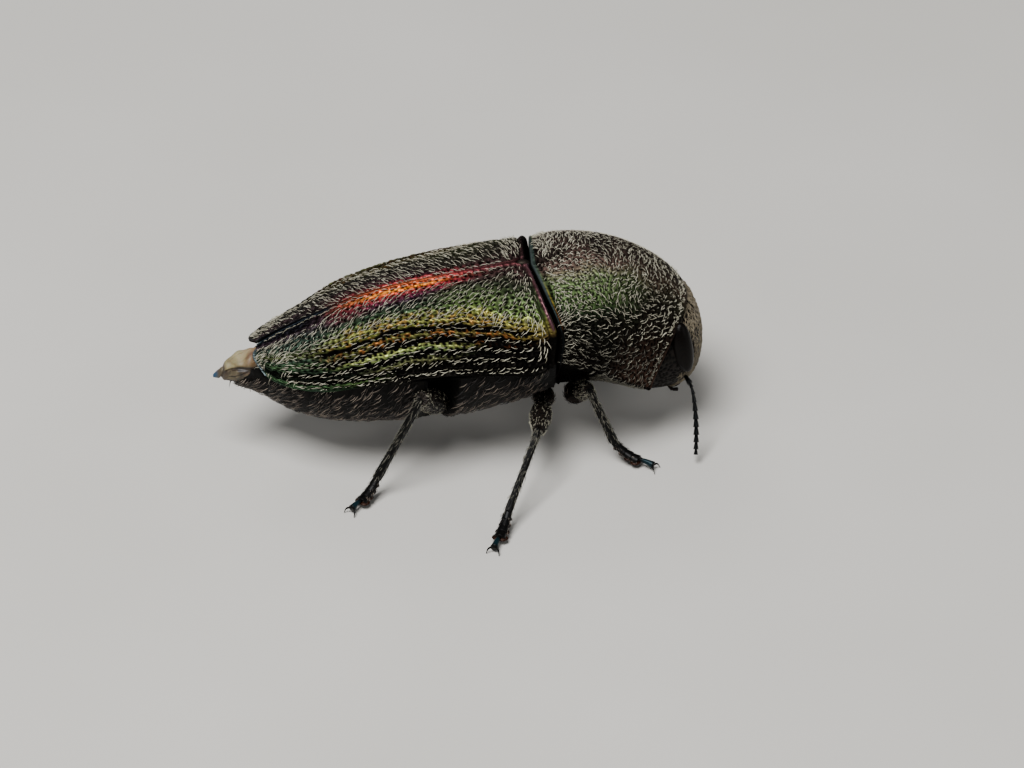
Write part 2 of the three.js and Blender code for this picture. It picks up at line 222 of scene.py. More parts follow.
def surface_at(place, u, v, out=1):
    """Where place(u, v) is, with its outward side and its directions along u and v."""
    step = 2e-3
    lengthwise = unit(place(u, v + step) - place(u, v - step))
    across = unit(place(u + step, v) - place(u - step, v))
    return place(u, v), unit(np.cross(across, lengthwise)) * out, across, lengthwise


def lattice(column, row, looseness, seed):
    """The point in each cell of a lattice one unit apart, shaken by looseness."""
    table = np.random.default_rng(seed).random((97, 89, 2)) - 0.5
    shake = table[column % 97, row % 89] * np.expand_dims(looseness, -1)
    return column + 0.5 + shake[..., 0], row + 0.5 + shake[..., 1]


def pits(x, y, looseness, seed, floor=0.15, edge=0.5):
    """1 on the floor of a puncture at each point of the lattice, and 0 beyond its edge."""
    nearest = np.full(np.shape(x), 9.0)
    for i in (-1, 0, 1):
        for j in (-1, 0, 1):
            column, row = np.floor(x).astype(int) + i, np.floor(y).astype(int) + j
            a, b = lattice(column, row, looseness, seed)
            nearest = np.minimum(nearest, np.hypot(x - a, y - b))
    return 1 - smooth(nearest, floor, edge)


case_width = curve(
    (-6.75, 0.82), (-6.3, 1.48), (-5.82, 1.86), (-4.85, 2.44), (-4.2, 2.76),
    (-3.5, 3), (-1, 3.28), (1, 3.26), (2.2, 3.14), (2.8, 2.95),
)
case_top = curve(
    (-6.75, -0.08), (-5.74, 0.46), (-4.2, 1.1), (-3.3, 1.44), (-2.2, 1.7),
    (-0.9, 1.88), (0.8, 2.08), (2, 2.2), (2.8, 2.14),
)
case_rim = curve(
    (-6.7, -0.4), (-5.8, -0.6), (-4.85, -0.54), (-3.5, -0.14), (-1, 0.14), (1, -0.12),
    (2.1, -0.28), (2.8, 0.05),
)
case_power = curve((-6.7, 1.6), (-5, 1.66), (-3, 1.72), (-1, 1.95), (0.6, 2.2), (2.8, 2.4))
case_shell = curve((-6.7, 0.14), (-5.4, 0.38), (-4.4, SHELL), (2.8, SHELL))
case_seam = curve((-6.7, 0.1), (-5, 0.05), (-3.4, SEAM / 2), (1.75, SEAM / 2), (2.1, 0.2))
case_front = curve((0, 0), (0.35, 0.2), (0.75, 0.5), (1, 0.38))
case_back = curve((0, -6.55), (0.35, -6.72), (0.65, -6.7), (1, -6.45))

# Ribs run parallel to the seam on the disc and rise towards the shoulder at the front.
lane_bend = curve(
    (0, 0.03), (0.1, 0.03), (0.3, 0.01), (0.5, -0.04), (0.65, -0.01), (0.78, 0.05),
    (0.88, 0.15), (1, 0.22),
)
lane_share = curve((0, 0), (0.25, 0.5), (0.45, 1), (0.62, 0.9), (0.85, 0.3), (1, 0))
stripe_width = curve(
    (0, 0.1), (0.15, 0.22), (0.3, 0.25), (0.5, 0.21), (0.62, 0.16), (0.72, 0.1), (0.9, 0.03)
)
front_start = curve((0, 0.56), (0.68, 0.56), (0.8, 0.48), (0.9, 0.24))


def case_face(across, along, depth=COAT):
    """A point of the left wing case, from the seam to the rim and from the tip to the base."""
    x = mix(case_back(across), BASE_X + case_front(across), along)
    seam = case_seam(x)
    turn = (1 - across) / 4
    side, rise = section(turn, case_width(x) - depth - seam, 1, case_power(x))
    return spots(x, seam + side, mix(case_rim(x), case_top(x) - depth, rise) + RIM)


def lane_of(across, along):
    """The share of the width that a place would have if the ribs ran straight and even."""
    waver = 0.008 * np.sin(29 * along + 16 * across) + 0.005 * np.sin(71 * along - 11 * across)
    return across - lane_bend(along) * lane_share(across) + waver


def case_marks(across, along):
    """Relief of a wing case in mm, how black its furrows and punctures are, with painted shade in
    the groove along the base, and where its coloured rims are."""
    lane = lane_of(across, along)
    begin = mix(0.14, 0.03, smooth(lane, 0.55, 0.7))
    ribbed = smooth(lane, 0.42, 0.47) * (1 - smooth(lane, 0.92, 0.95))
    ribbed = ribbed * smooth(along, begin, begin + 0.12) * (1 - smooth(along, 0.9, 0.97))
    in_rows = smooth(lane, 0.33, 0.35) * smooth(along, 0.08, 0.16) * (1 - smooth(along, 0.93, 0.98))
    x, y = along * CASE_LENGTH, across * CASE_ARC
    loose = pits(x / PIT, y / PIT, *PIT_SCATTER, 0.16, 0.54)
    row = pits(x / ROW_PIT, (lane - FIRST_ROW) / ROWS, *ROW_SCATTER, 0.16, 0.58)
    pit = mix(loose, row, in_rows)
    phase = (lane - FIRST_RIB) / RIB_PITCH
    uneven = 0.12 * np.sin(6 * x + 31 * lane) + 0.1 * np.sin(13 * x - 23 * lane)
    furrow = (0.5 - 0.5 * np.cos(2 * np.pi * phase)) * ribbed
    knobs = (0.5 - 0.5 * np.cos(2 * np.pi * x / ROW_PIT + 4 * np.sin(50 * lane))) ** 3 * in_rows
    faint = 0.012 * np.cos(2 * np.pi * phase) * (1 - ribbed)
    seam_rim = bump(across, 0.004, SEAM_RIM)
    seam_groove = bump(across, 0.03, 0.014) * smooth(along, 0.05, 0.3)
    side_rim = bump(across, 0.985, 0.02)
    base_rim = bump(along, 0.992, 0.011)
    base_groove = bump(along, 0.976, 0.009)
    tip_rim = bump(along, 0.002, 0.009) * smooth(across, 0.1, 0.3)
    rims = np.maximum.reduce([seam_rim, side_rim, base_rim, tip_rim])
    inner = (1 - rims) * (1 - 0.8 * base_groove)
    relief = RIM_RISE * rims - 0.6 * GROOVE_DEPTH * seam_groove - GROOVE_DEPTH * base_groove
    relief = relief + inner * (faint - PIT_DEPTH * pit - FURROW_DEPTH * furrow - 0.02 * knobs)
    furrowed = smooth(furrow + (0.5 * pit + uneven) * ribbed, 0.35, 0.8)
    black = inner * np.maximum.reduce([pit, 0.6 * knobs, furrowed])
    tinted = np.maximum.reduce([seam_rim, base_rim * (1 - smooth(lane, 0.42, 0.6)), tip_rim])
    # the groove along the base is painted nearly black: painted shade
    return relief, np.clip(np.maximum(black, base_groove * 0.9), 0, 1), smooth(tinted, 0.1, 0.5)


def drifting(material, value, spot, patches, amount):
    """The value, shifted by up to amount in patches. Their count is for one millimetre."""
    cloud = add_node(
        material, "TexNoise", [("Vector", spot)], Scale=patches * PER_MM, Detail=4
    )
    drift = add_node(
        material, "MapRange", [("Value", cloud)],
        From_Min=0.3, From_Max=0.7, To_Min=-amount, To_Max=amount,
    )
    return add_node(material, "Math", [(0, value), (1, drift)], operation="ADD")


def blackened(material, colour, dark, low, high, grains, grain_depth):
    """Blackens and roughens where dark is set, in the punctures and in the painted shade, and adds
    the net-like grain of the cuticle. The real one has about 100 meshes to a millimetre, too fine
    to show, so it is drawn coarser."""
    black = add_node(
        material, "MixRGB", [("Fac", dark), ("Color1", colour)], Color2=linear("#060606")
    )
    rough = add_node(material, "MapRange", [("Value", dark)], To_Min=low, To_Max=high)
    spot = add_node(material, "TexCoord", gives="Object")
    grain = add_node(material, "TexNoise", [("Vector", spot)], Scale=grains * PER_MM, Detail=2)
    relief = add_node(
        material, "Bump", [("Height", grain)], Strength=0.4, Distance=grain_depth * MM
    )
    feed(material, Base_Color=black, Roughness=rough, Normal=relief)


# Metallic cuticle: thin layers that mirror one colour, from red at the seam to green and gold
# at the side, over black in every puncture and furrow. The upper part of the left case, which
# turns away from the light, is mixed towards a dull brown bronze: painted shade.
cuticle = new_material("metallic_cuticle", Metallic=0.8, Specular_Tint=linear("#7a6458"))
form = add_node(cuticle, "UVMap", uv_map="form")
along = add_node(cuticle, "SeparateXYZ", [("Vector", form)], gives="Y")
spot = add_node(cuticle, "TexCoord", gives="Object")
lane, glow, dark, rims, dull, past_tip, near_base = (
    add_node(cuticle, "Attribute", gives="Fac", attribute_name=name)
    for name in ("lane", "glow", "dark", "rims", "dull", "past_tip", "near_base")
)
shifted = drifting(cuticle, lane, spot, 1.5, 0.035)
tip_bands = add_node(cuticle, "ValToRGB", [("Fac", shifted)], [
    (0, "#0d1117"), (0.1, "#15141a"), (0.16, "#40323a"), (0.24, "#303c36"), (0.36, "#38493c"),
    (0.45, "#525a36"), (0.52, "#34463a"), (0.6, "#466040"), (0.67, "#2a3a2c"), (0.73, "#0e120d"),
    (0.84, "#18221b"), (0.9, "#4a6a46"), (1, "#2c3a30"),
])
middle_bands = add_node(cuticle, "ValToRGB", [("Fac", shifted)], [
    (0, "#4a2a2a"), (0.19, "#33272d"), (0.24, "#2a342e"), (0.31, "#34462f"), (0.35, "#5e6a38"),
    (0.42, "#8e904c"), (0.46, "#788040"), (0.54, "#6e6e3e"), (0.6, "#34381f"), (0.65, "#c6d47c"),
    (0.7, "#6a8450"), (0.77, "#72744e"), (0.84, "#1c2016"), (0.9, "#5a743e"), (0.95, "#10110e"),
])
base_bands = add_node(cuticle, "ValToRGB", [("Fac", shifted)], [
    (0, "#4a3434"), (0.06, "#3c302e"), (0.12, "#363c2e"), (0.2, "#4a5a38"), (0.31, "#5c703c"),
    (0.36, "#8c8e46"), (0.46, "#94884a"), (0.51, "#86783e"), (0.57, "#4a3c22"), (0.62, "#0c0c0b"),
])
bands = add_node(
    cuticle, "MixRGB", [("Fac", near_base), ("Color1", middle_bands), ("Color2", base_bands)]
)
flecks = add_node(cuticle, "TexNoise", [("Vector", spot)], Scale=4.6 * PER_MM, Detail=2)
golden = add_node(cuticle, "ValToRGB", [("Fac", flecks)], [(0.5, 0.0), (0.58, 0.75)])
for across_or_along, stops in (
    (lane, [(0.3, 0.0), (0.37, 0.5), (0.44, 0.65), (0.57, 1.0), (0.62, 0.4), (0.7, 0.0)]),
    (along, [(0.8, 1.0), (0.92, 0.0)]),
):
    here = add_node(cuticle, "ValToRGB", [("Fac", across_or_along)], stops)
    golden = add_node(cuticle, "Math", [(0, golden), (1, here)], operation="MULTIPLY")
flecked = add_node(
    cuticle, "MixRGB", [("Fac", golden), ("Color1", bands)], Color2=linear("#a45e30")
)
flecked = add_node(
    cuticle, "MixRGB", [("Fac", past_tip), ("Color1", tip_bands), ("Color2", flecked)]
)
stripe = add_node(cuticle, "ValToRGB", [("Fac", glow)], [
    (0.0, "#cc4c2c"), (0.08, "#f27a32"), (0.2, "#ffa63e"), (0.3, "#ee7236"), (0.4, "#b23c3a"),
    (0.6, "#6a2c3c"), (0.85, "#46283a"), (1.0, "#33282c"),
])
at_its_ends = add_node(cuticle, "ValToRGB", [("Fac", along)], [
    (0.29, 0.8), (0.42, 0.0), (0.65, 0.0), (0.71, 0.8)
])
stripe = add_node(
    cuticle, "MixRGB", [("Fac", at_its_ends), ("Color1", stripe)], Color2=linear("#8c2a34")
)
stripe_here = add_node(cuticle, "ValToRGB", [("Fac", glow)], [(0.75, 1.0), (1.0, 0.0)])
stripe_along = add_node(cuticle, "ValToRGB", [("Fac", along)], [
    (0.24, 0.0), (0.35, 0.5), (0.45, 1.0), (0.7, 1.0), (0.78, 0.4), (0.86, 0.0)
])
on_stripe = add_node(
    cuticle, "Math", [(0, stripe_here), (1, stripe_along)], operation="MULTIPLY"
)
striped = add_node(
    cuticle, "MixRGB", [("Fac", on_stripe), ("Color1", flecked), ("Color2", stripe)]
)
rim_colour = add_node(cuticle, "ValToRGB", [("Fac", along)], [
    (0.0, "#5c686a"), (0.02, "#1c262e"), (0.26, "#141a20"), (0.36, "#6a3020"), (0.6, "#8a4426"),
    (0.72, "#782a2a"), (0.8, "#4a2024"), (0.96, "#4c2a2c"), (0.985, "#684448"), (1.0, "#483840"),
])
whole = add_node(cuticle, "MixRGB", [("Fac", rims), ("Color1", striped), ("Color2", rim_colour)])
# Mixes in a dull brown: painted shade on the upper part of the left case, which turns away from the
# light.
whole = add_node(cuticle, "MixRGB", [("Fac", dull), ("Color1", whole)], Color2=linear("#2a2322"))
blackened(cuticle, whole, dark, 0.34, 0.75, 22, 0.02)


def new_form():
    bm = bmesh.new()
    bm.loops.layers.uv.new("form")
    return bm


def flat_grid(bm, columns, rows):
    """Adds a flat grid of unit size, whose UVs run from 0 to 1, and gives its vertices."""
    return bmesh.ops.create_grid(
        bm, x_segments=columns, y_segments=rows, size=0.5, calc_uvs=True
    )["verts"]


def placed(verts, place):
    """Carries the vertices of flat grids to place(u, v, w), and gives back u, v and w."""
    flat = np.array([vert.co[:] for vert in verts])
    flat[:, :2] += 0.5
    for vert, spot in zip(verts, place(*flat.T) * MM):
        vert.co = spot
    return flat.T


def mark_layers(bm, names):
    """Layers for marks. A new one drops every vertex at hand, so it comes before them."""
    floats = bm.verts.layers.float
    return [floats.get(name) or floats.new(name) for name in names]


def painted(verts, layers, marks):
    """Stores marks, one number for each of the vertices, as attributes for the material."""
    for layer, values in zip(layers, marks):
        for vert, value in zip(verts, np.broadcast_to(values, len(verts))):
            vert[layer] = float(value)


def finished(name, bm, material, slot, *nodes):
    """The piece's object, with its faces pointing out, in place of its nodes in the frame."""
    bmesh.ops.recalc_face_normals(bm, faces=bm.faces)
    for face in bm.faces:
        face.smooth = True
    mesh = bpy.data.meshes.new(name)
    bm.to_mesh(mesh)
    bm.free()
    mesh.materials.append(material)
    piece = bpy.data.objects.new(name, mesh)
    bpy.context.scene.collection.objects.link(piece)
    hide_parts(*nodes)
    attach(piece, "root")


def wing_case(side):
    """Two flat grids, the outer face and a coarser inner one, bridged at their borders and
    then bent to shape, with the marks that the cuticle's colours go by."""
    bm = new_form()
    columns, rows = CASE_GRID
    flat_grid(bm, columns, rows)
    lining = flat_grid(bm, columns // LINING_STEP, rows // LINING_STEP)
    bmesh.ops.translate(bm, vec=(0, 0, -LINING_DROP), verts=lining)
    border = [edge for edge in bm.edges if edge.is_boundary and edge.verts[0].co.z < 0]
    bmesh.ops.subdivide_edges(bm, edges=border, cuts=LINING_STEP - 1)
    bmesh.ops.bridge_loops(bm, edges=[edge for edge in bm.edges if edge.is_boundary])

    def place(u, v, w):
        here, out, _, _ = surface_at(case_face, u, v, -1)
        face = here + out * case_marks(u, v)[0][:, None]
        under = case_face(u, v, mix(COAT, case_shell(here[:, 0]), LINING_SHARE))
        return np.where(w[:, None] < 0, under, face) * (1, side, 1)

    u, v, w = placed(bm.verts, place)
    _, dark, rims = case_marks(u, v)
    lane = lane_of(u, v)
    tip_end = mix(0.16, 0.3, bump(lane, 0.76, 0.16))
    from_front = front_start(lane)
    # On the left case the stripe is moved towards its dark purple end: painted shade on the case
    # that turns away from the light.
    glow = (u - SEAM_RIM) / stripe_width(v) + (0.3 if side > 0 else 0)
    # The upper part of the left case turns away from the light: its colours are dulled by painted
    # shade.
    upper = (side > 0) * (1 - smooth(u, *UPPER_EDGE))
    # The base edge of the left case's upper part is painted black: painted shade in the gap under
    # the hood.
    dark = np.maximum(dark, upper * smooth(v, 0.98, 0.995))
    marks = {
        "lane": lane, "glow": glow, "rims": rims,
        # the inner face is painted black: painted shade under the case
        "dark": np.where(w < 0, 1, dark),
        "dull": 0.8 * upper * (1 - 0.5 * bump(u, 0, 0.2)),
        "past_tip": smooth(v, tip_end, tip_end + 0.18),
        "near_base": smooth(v, from_front, from_front + 0.2),
    }
    layers = mark_layers(bm, marks)
    painted(bm.verts, layers, marks.values())
    return bm


for side, label in ((1, "left"), (-1, "right")):
    finished(f"wing_case_{label}", wing_case(side), cuticle, "cuticle_metallic", f"elytron_{label}")

# ---- Hairs of the wing cases ---------------------------------------------------------------
# One curved hair of clear chitin grows from each puncture. On the disc they lie backwards and
# away from the seam, and along the ribs and the seam they are short and lie straight back.
# A loose fringe stands at the base and a tuft near the tip.

HAIR_STEPS = 5  # faces from the root of a hair to its tip
HAIR_ROWS = 16  # along the ribs of a wing case
SEAM_STEP = 0.14  # from one hair to the next along the seam
BASE_HAIRS = 48  # in the fringe beside the base rim of each case
TIP_HAIRS = 36  # in the tuft between the seam and the tip
HAIR_ROOT = 0.02  # how deep the root sits under the skin
PATCH = 0.003  # size of one hair on the unwrap of the skin
TONES = 260  # changes of tone across the unwrap, so that neighbouring hairs differ


def hairs(name, material, roots, out, lie, unwrap, long, radius, lift=0.09, curl=0.15, seed=1):
    """One mesh of three-sided hairs, fine at both ends. A hair stands on its root, rises by
    lift, bends over along lie and curls sideways, and has a patch of its own on the unwrap."""
    bm = bmesh.new()
    bm.loops.layers.uv.new("OFBake")
    flat_grid(bm, 3, HAIR_STEPS)
    for vert in bm.verts:
        turn = 2 * np.pi * vert.co.x
        vert.co = (np.cos(turn), np.sin(turn), vert.co.y + 0.5)
    bmesh.ops.remove_doubles(bm, verts=bm.verts, dist=1e-6)
    bmesh.ops.holes_fill(bm, edges=[edge for edge in bm.edges if edge.is_boundary], sides=3)
    bmesh.ops.recalc_face_normals(bm, faces=bm.faces)
    strand = np.array([vert.co[:] for vert in bm.verts])
    one = bpy.data.meshes.new(name)
    bm.to_mesh(one)
    bm.free()
    piece = bpy.data.objects.new(name, one)
    bpy.context.scene.collection.objects.link(piece)
    repeat = piece.modifiers.new("repeat", "ARRAY")
    repeat.count = len(roots)
    repeat.use_relative_offset = False
    repeated = piece.evaluated_get(bpy.context.evaluated_depsgraph_get())
    mesh = bpy.data.meshes.new_from_object(repeated)
    piece.modifiers.clear()
    piece.data = mesh

    random = np.random.default_rng(seed)
    roots, out, lie = roots[:, None], out[:, None], lie[:, None]
    reach, bent, sway, height = (
        values[:, None, None] for values in (
            long * random.uniform(0.65, 1.3, len(roots)),
            curl * random.normal(0, 1, len(roots)),
            random.normal(0.05, 0.3 * curl, len(roots)),
            lift * random.uniform(0.6, 1.15, len(roots)),
        )
    )
    beside = np.cross(out, lie)

    def path(share):
        sideways = bent * share * (1 - 0.6 * share) + sway * np.sin(2 * np.pi * share)
        line = roots + reach * share * (lie * (1 - 0.12 * share) + beside * sideways)
        return line + out * (height * np.sin(0.82 * np.pi * share**0.8) - HAIR_ROOT)

    share = strand[:, 2][None, :, None]
    ahead = unit(path(np.minimum(share + 0.05, 1)) - path(np.maximum(share - 0.05, 0)))
    flank = unit(np.cross(out, ahead))
    round_it = strand[:, 0][:, None] * flank + strand[:, 1][:, None] * np.cross(ahead, flank)
    whole = path(share) + round_it * (radius * np.sin(np.pi * (0.12 + 0.88 * share**0.7)) + 0.001)
    mesh.vertices.foreach_set("co", (whole * MM).ravel())
    patch = np.zeros(2 * len(mesh.loops), np.float32)
    layer = mesh.uv_layers["OFBake"]
    layer.data.foreach_get("uv", patch)
    patch = unwrap[:, None] + PATCH * (patch.reshape(len(roots), -1, 2) - 0.5)
    layer.data.foreach_set("uv", np.clip(patch, 0, 1).astype(np.float32).ravel())
    mesh.shade_smooth()
    mesh.materials.append(material)
    mesh.update()
    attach(piece, "root")


def cells(columns, rows, looseness, seed):
    """All points of a lattice, for the given numbers of columns and rows."""
    column, row = (part.ravel() for part in np.meshgrid(np.arange(columns), np.arange(rows)))
    return lattice(column, row, looseness, seed)


def setae(name, roughness, *tones):
    """The chitin of hairs. Each hair has a tone of its own, by its place on the unwrap."""
    material = new_material(name, Roughness=roughness, IOR=1.55)
    patch = add_node(material, "UVMap", uv_map="OFBake")
    tone = add_node(material, "TexNoise", [("Vector", patch)], Scale=TONES, Detail=1)
    feed(material, Base_Color=add_node(material, "ValToRGB", [("Fac", tone)], tones))
    return material


# Clear hollow hairs look silvery where they catch the light.
silver = setae("silvery_setae", 0.3, (0.3, "#8a846f"), (0.62, "#ebe6cf"))


def leaning(across, backward, slant, off=0):
    """The way that each hair leans: slant radians away from backward, and off the skin by off."""
    return unit(across * np.sin(slant)[:, None] + backward * np.cos(slant)[:, None] + off)


def case_hairs(side):
    """Roots, outward side, lie, place on the unwrap and length of each hair of a wing case."""
    random = np.random.default_rng(11)
    x, y = cells(int(CASE_LENGTH / PIT), int(CASE_ARC / PIT), *PIT_SCATTER)
    disc_along, disc_across = x * PIT / CASE_LENGTH, y * PIT / CASE_ARC
    disc = lane_of(disc_across, disc_along) < np.where(disc_along < 0.12, 0.86, FIRST_ROW)
    disc &= disc_across > mix(0.12, 0.04, smooth(disc_along, 0.2, 0.3))
    disc &= (disc_along > 0.02) & (disc_along < 0.97)
    disc &= (disc_along > 0.14) | (disc_across < 0.5) | (np.arange(len(disc)) % 5 < 2)
    x, row = cells(int(CASE_LENGTH / ROW_PIT), HAIR_ROWS, *ROW_SCATTER)
    row_along, row_lane = x * ROW_PIT / CASE_LENGTH, FIRST_ROW + ROWS * row
    row_across = row_lane
    for _ in range(5):  # nears the place that has this lane
        row_across = row_across + row_lane - lane_of(row_across, row_along)
    rows = (row_across < 0.97) & (row_along > 0.1) & (row_along < 0.97)
    rows &= (row < 3) | (np.floor(row) % 3 != 1)
    seam_along = np.arange(0.04, 0.97, SEAM_STEP / CASE_LENGTH)
    base_across, base_along = random.uniform((0.03, 0.925), (0.55, 0.983), (BASE_HAIRS, 2)).T
    tip_across, tip_along = random.uniform((0.15, 0.015), (0.45, 0.12), (TIP_HAIRS, 2)).T
    seam_across = np.full_like(seam_along, 0.02)
    across = np.r_[disc_across[disc], base_across, tip_across, row_across[rows], seam_across]
    along = np.r_[disc_along[disc], base_along, tip_along, row_along[rows], seam_along]
    ribbed = (np.arange(len(along)) >= disc.sum() + BASE_HAIRS + TIP_HAIRS).astype(float)
    here, out, outward, ahead = surface_at(case_face, across, along, -1)
    angle = mix(mix(46, 14, ribbed), 75, smooth(along, 0.9, 0.96))
    lie = leaning(outward, -ahead, np.radians(angle + random.normal(0, mix(11, 13, ribbed))))
    relief = case_marks(across, along)[0][:, None]
    mirror = np.array((1, side, 1))
    unwrap = np.stack([across, along], axis=-1)
    long = mix(mix(0.34, 0.5, smooth(along, 0.2, 0.5)), 0.29, ribbed)
    long = mix(long, 0.3, smooth(along, 0.88, 0.93))
    return (here + out * relief) * mirror, out * mirror, lie * mirror, unwrap, long


for side, label in ((1, "left"), (-1, "right")):
    hairs(f"wing_case_hairs_{label}", silver, *case_hairs(side), radius=0.0091, seed=20 + side)

# ---- Scutellum -----------------------------------------------------------------------------
# A tiny smooth shield of the same metallic cuticle. It grows from the thorax and locks the
# wing cases together at their base.

SHIELD_CENTRE = (BASE_X - 0.14, 0, RIM + 1.96)
SHIELD_HALVES = (0.24, 0.15, 0.19)


def ball(centre, halves, power=2):
    """place(turn, tier) of a ball. A power above 2 makes it boxier."""

    def place(u, v):
        ray = spots(
            np.cos(2 * np.pi * u) * np.sin(np.pi * v),
            np.sin(2 * np.pi * u) * np.sin(np.pi * v),
            -np.cos(np.pi * v),
        )
        size = (np.abs(ray) ** power).sum(axis=-1, keepdims=True) ** (1 / power)
        return ray / size * halves + centre

    return place


def rolled(bm, columns, rows, place, **marks):
    """Rolls a flat grid round with place(turn, share) and closes its seam and its two ends. A
    mark that isn't given is nought."""
    layers = mark_layers(bm, marks)
    verts = flat_grid(bm, columns, rows)
    u, v, _ = placed(verts, lambda u, v, w: place(u, v))
    painted(verts, layers, [mark(u, v) if callable(mark) else mark for mark in marks.values()])
    bmesh.ops.remove_doubles(bm, verts=verts, dist=1e-8)


bm = new_form()
rolled(
    bm, 40, 24, ball(SHIELD_CENTRE, SHIELD_HALVES, 2.4),
    lane=0.09, glow=2, dark=0.3, past_tip=1, near_base=1,
    # dulled by half all round, and more on its left side, which turns away from the light: painted
    # shade
    dull=lambda u, v: 0.5 + 0.3 * np.sin(2 * np.pi * u),
)
finished("scutellum_shield", bm, cuticle, "cuticle_metallic", "scutellum")

# ---- Prothorax -----------------------------------------------------------------------------
# One deep hood of punctured cuticle, green at the sides, dark above and black below, where the
# black is painted shade. Its base has a smooth rim that fits the wing cases, and its mouth is
# rolled in round the head.

HOOD_GRID = (380, 250)
UPPER_SHARE = 0.84  # share of the grid's columns that the upper half has
BASE_GROOVE = 0.14
MOUTH_TOP = 7.46
MOUTH_CORNER = 5.93
HOOD_POWER = 2.1
HOOD_PIT = 0.12
HOOD_SCATTER = (0.9, 7)
HOOD_PIT_DEPTH = 0.05
HOOD_ARC = 9.4
HOOD_LENGTH = 4.6
FRINGE_HAIRS = 420  # along the mouth and the base
LIP = 0.2  # thickness of the edge of the mouth
BASE_CAP, MOUTH_EDGE = 0.05, 0.86  # rows where the base ends and where the mouth turns in

hood_top = curve(
    (2.4, 2.0), (2.75, 2.2), (3.5, 2.42), (4.7, 2.48), (5.6, 2.28), (6.4, 1.82),
    (7.1, 1.16), (7.5, 0.58),
)
hood_side = curve(
    (2.7, 0.15), (3.57, -0.12), (4.6, -0.73), (5.14, -1.14), (5.93, -1.7), (7.5, -2.5)
)
hood_width = curve(
    (2.4, 2.98), (2.8, 3.12), (3.4, 3.22), (4.4, 3.1), (5.3, 2.74), (5.93, 2.44),
    (6.8, 2.4), (7.5, 2.35),
)
hood_depth = curve((2.4, 2.88), (3.6, 2.9), (5, 2.95), (6, 2.9))
hood_below = curve((2.4, 1.3), (3, 0.98), (4.4, 1), (6, 1.35))


def base_lead(turn):
    """How much further forward the hood's lower half begins."""
    return mix(0.92, 0.38, np.abs(np.cos(turn * 2 * np.pi)))


def hood_section(turn, share, inset):
    """A point of the hood from base to mouth, inset from the solid's face."""
    upper = turn < 0.5
    from_top = np.where(upper, 1 - 4 * np.minimum(turn, 0.5 - turn), 0)
    back = BASE_X + BASE_GROOVE + np.where(upper, case_front(from_top), base_lead(turn))
    climb = np.abs(np.sin(turn * 2 * np.pi)) ** 1.1
    front = np.where(upper, mix(MOUTH_CORNER, MOUTH_TOP, climb), MOUTH_CORNER)
    x = mix(back, front, share)
    y, rise = section(turn, hood_width(x) - inset, 1, np.where(upper, HOOD_POWER, hood_below(x)))
    far = np.where(rise > 0, hood_top(x) - inset, inset - hood_depth(x))
    return spots(x, y, mix(hood_side(x), far, np.abs(rise)) + RIM)


def hood_face(turn, share):
    return hood_section(turn, share, COAT)


def hood_turn(u):
    """Gives the upper half of the hood most of the columns."""
    lower = 0.5 + (u - UPPER_SHARE) / (1 - UPPER_SHARE) / 2
    return np.clip(np.where(u < UPPER_SHARE, u / UPPER_SHARE / 2, lower), 0, 1) % 1


def hood_share(v):
    """How far from base to mouth a row of the grid lies, past the rows that close the base."""
    return np.clip((v - BASE_CAP) / (MOUTH_EDGE - BASE_CAP), 0, 1)


def hood_marks(turn, share):
    """Relief of the hood in mm, how black its punctures are, with painted shade in its groove, and
    its base rim.
    """
    x, y = turn * 2 * HOOD_ARC / HOOD_PIT, share * HOOD_LENGTH / HOOD_PIT
    pit = pits(x, y, *HOOD_SCATTER, 0.16, 0.56)
    base_rim = bump(share, 0.006, 0.024)
    groove = bump(share, 0.036, 0.014)
    lip = smooth(share, 0.98, 0.995)
    plain = (1 - base_rim) * (1 - lip)
    relief = RIM_RISE * base_rim + 0.02 * lip - 0.03 * groove - HOOD_PIT_DEPTH * pit * plain
    return relief, np.clip(plain * pit + 0.5 * groove, 0, 1), base_rim


def hood(u, v):
    """The outer face, closed across the body behind and rolled in round the head in front."""
    turn, share = hood_turn(u), hood_share(v)
    _, out, _, _ = surface_at(hood_face, np.clip(turn, 0.004, 0.996), np.clip(share, 0.004, 0.996))
    face = hood_face(turn, share) + out * hood_marks(turn, share)[0][:, None]
    axis = mix(BASE_X + BASE_GROOVE, MOUTH_CORNER - 0.5, share)
    axis = spots(axis, 0, hood_side(face[:, 0]) + RIM)
    whole = mix(axis, face, np.clip(v / BASE_CAP, 0, 1)[:, None])
    inward = np.clip((v - MOUTH_EDGE) / (1 - MOUTH_EDGE), 0, 1)
    inset = COAT + LIP * smooth(inward, 0, 0.25)
    inner = hood_section(turn, 1 - 0.35 * smooth(inward, 0, 0.8), inset)
    inner = inner + spots(0.04 * np.sin(np.pi * np.clip(inward / 0.3, 0, 1)), 0, 0)
    core = spots(MOUTH_CORNER - 0.9, 0, RIM - 1.4)
    inner = mix(inner, core, smooth(inward, 0.8, 1)[:, None])
    return np.where((v > MOUTH_EDGE)[:, None], inner, whole)


def hood_dark(u, v):
    """Dark in the punctures; all over the underside and inside it is painted shade."""
    outer = (v > BASE_CAP - 0.001) & (v < MOUTH_EDGE + 0.01)
    below = smooth(np.abs(hood_turn(u) - 0.25), 0.25, 0.28)
    return np.where(outer, np.maximum(hood_marks(hood_turn(u), hood_share(v))[1], below), 1)


def hood_level(u, v):
    """1 along the top and 0 at the lower edge. The left side is like the top for longer."""
    turn = hood_turn(u)
    return np.clip(4 * np.minimum(turn, 0.5 - turn) + 0.3 * smooth(0.25 - turn, 0, 0.06), 0, 1)


def hood_rim(u, v):
    return hood_marks(hood_turn(u), hood_share(v))[2]
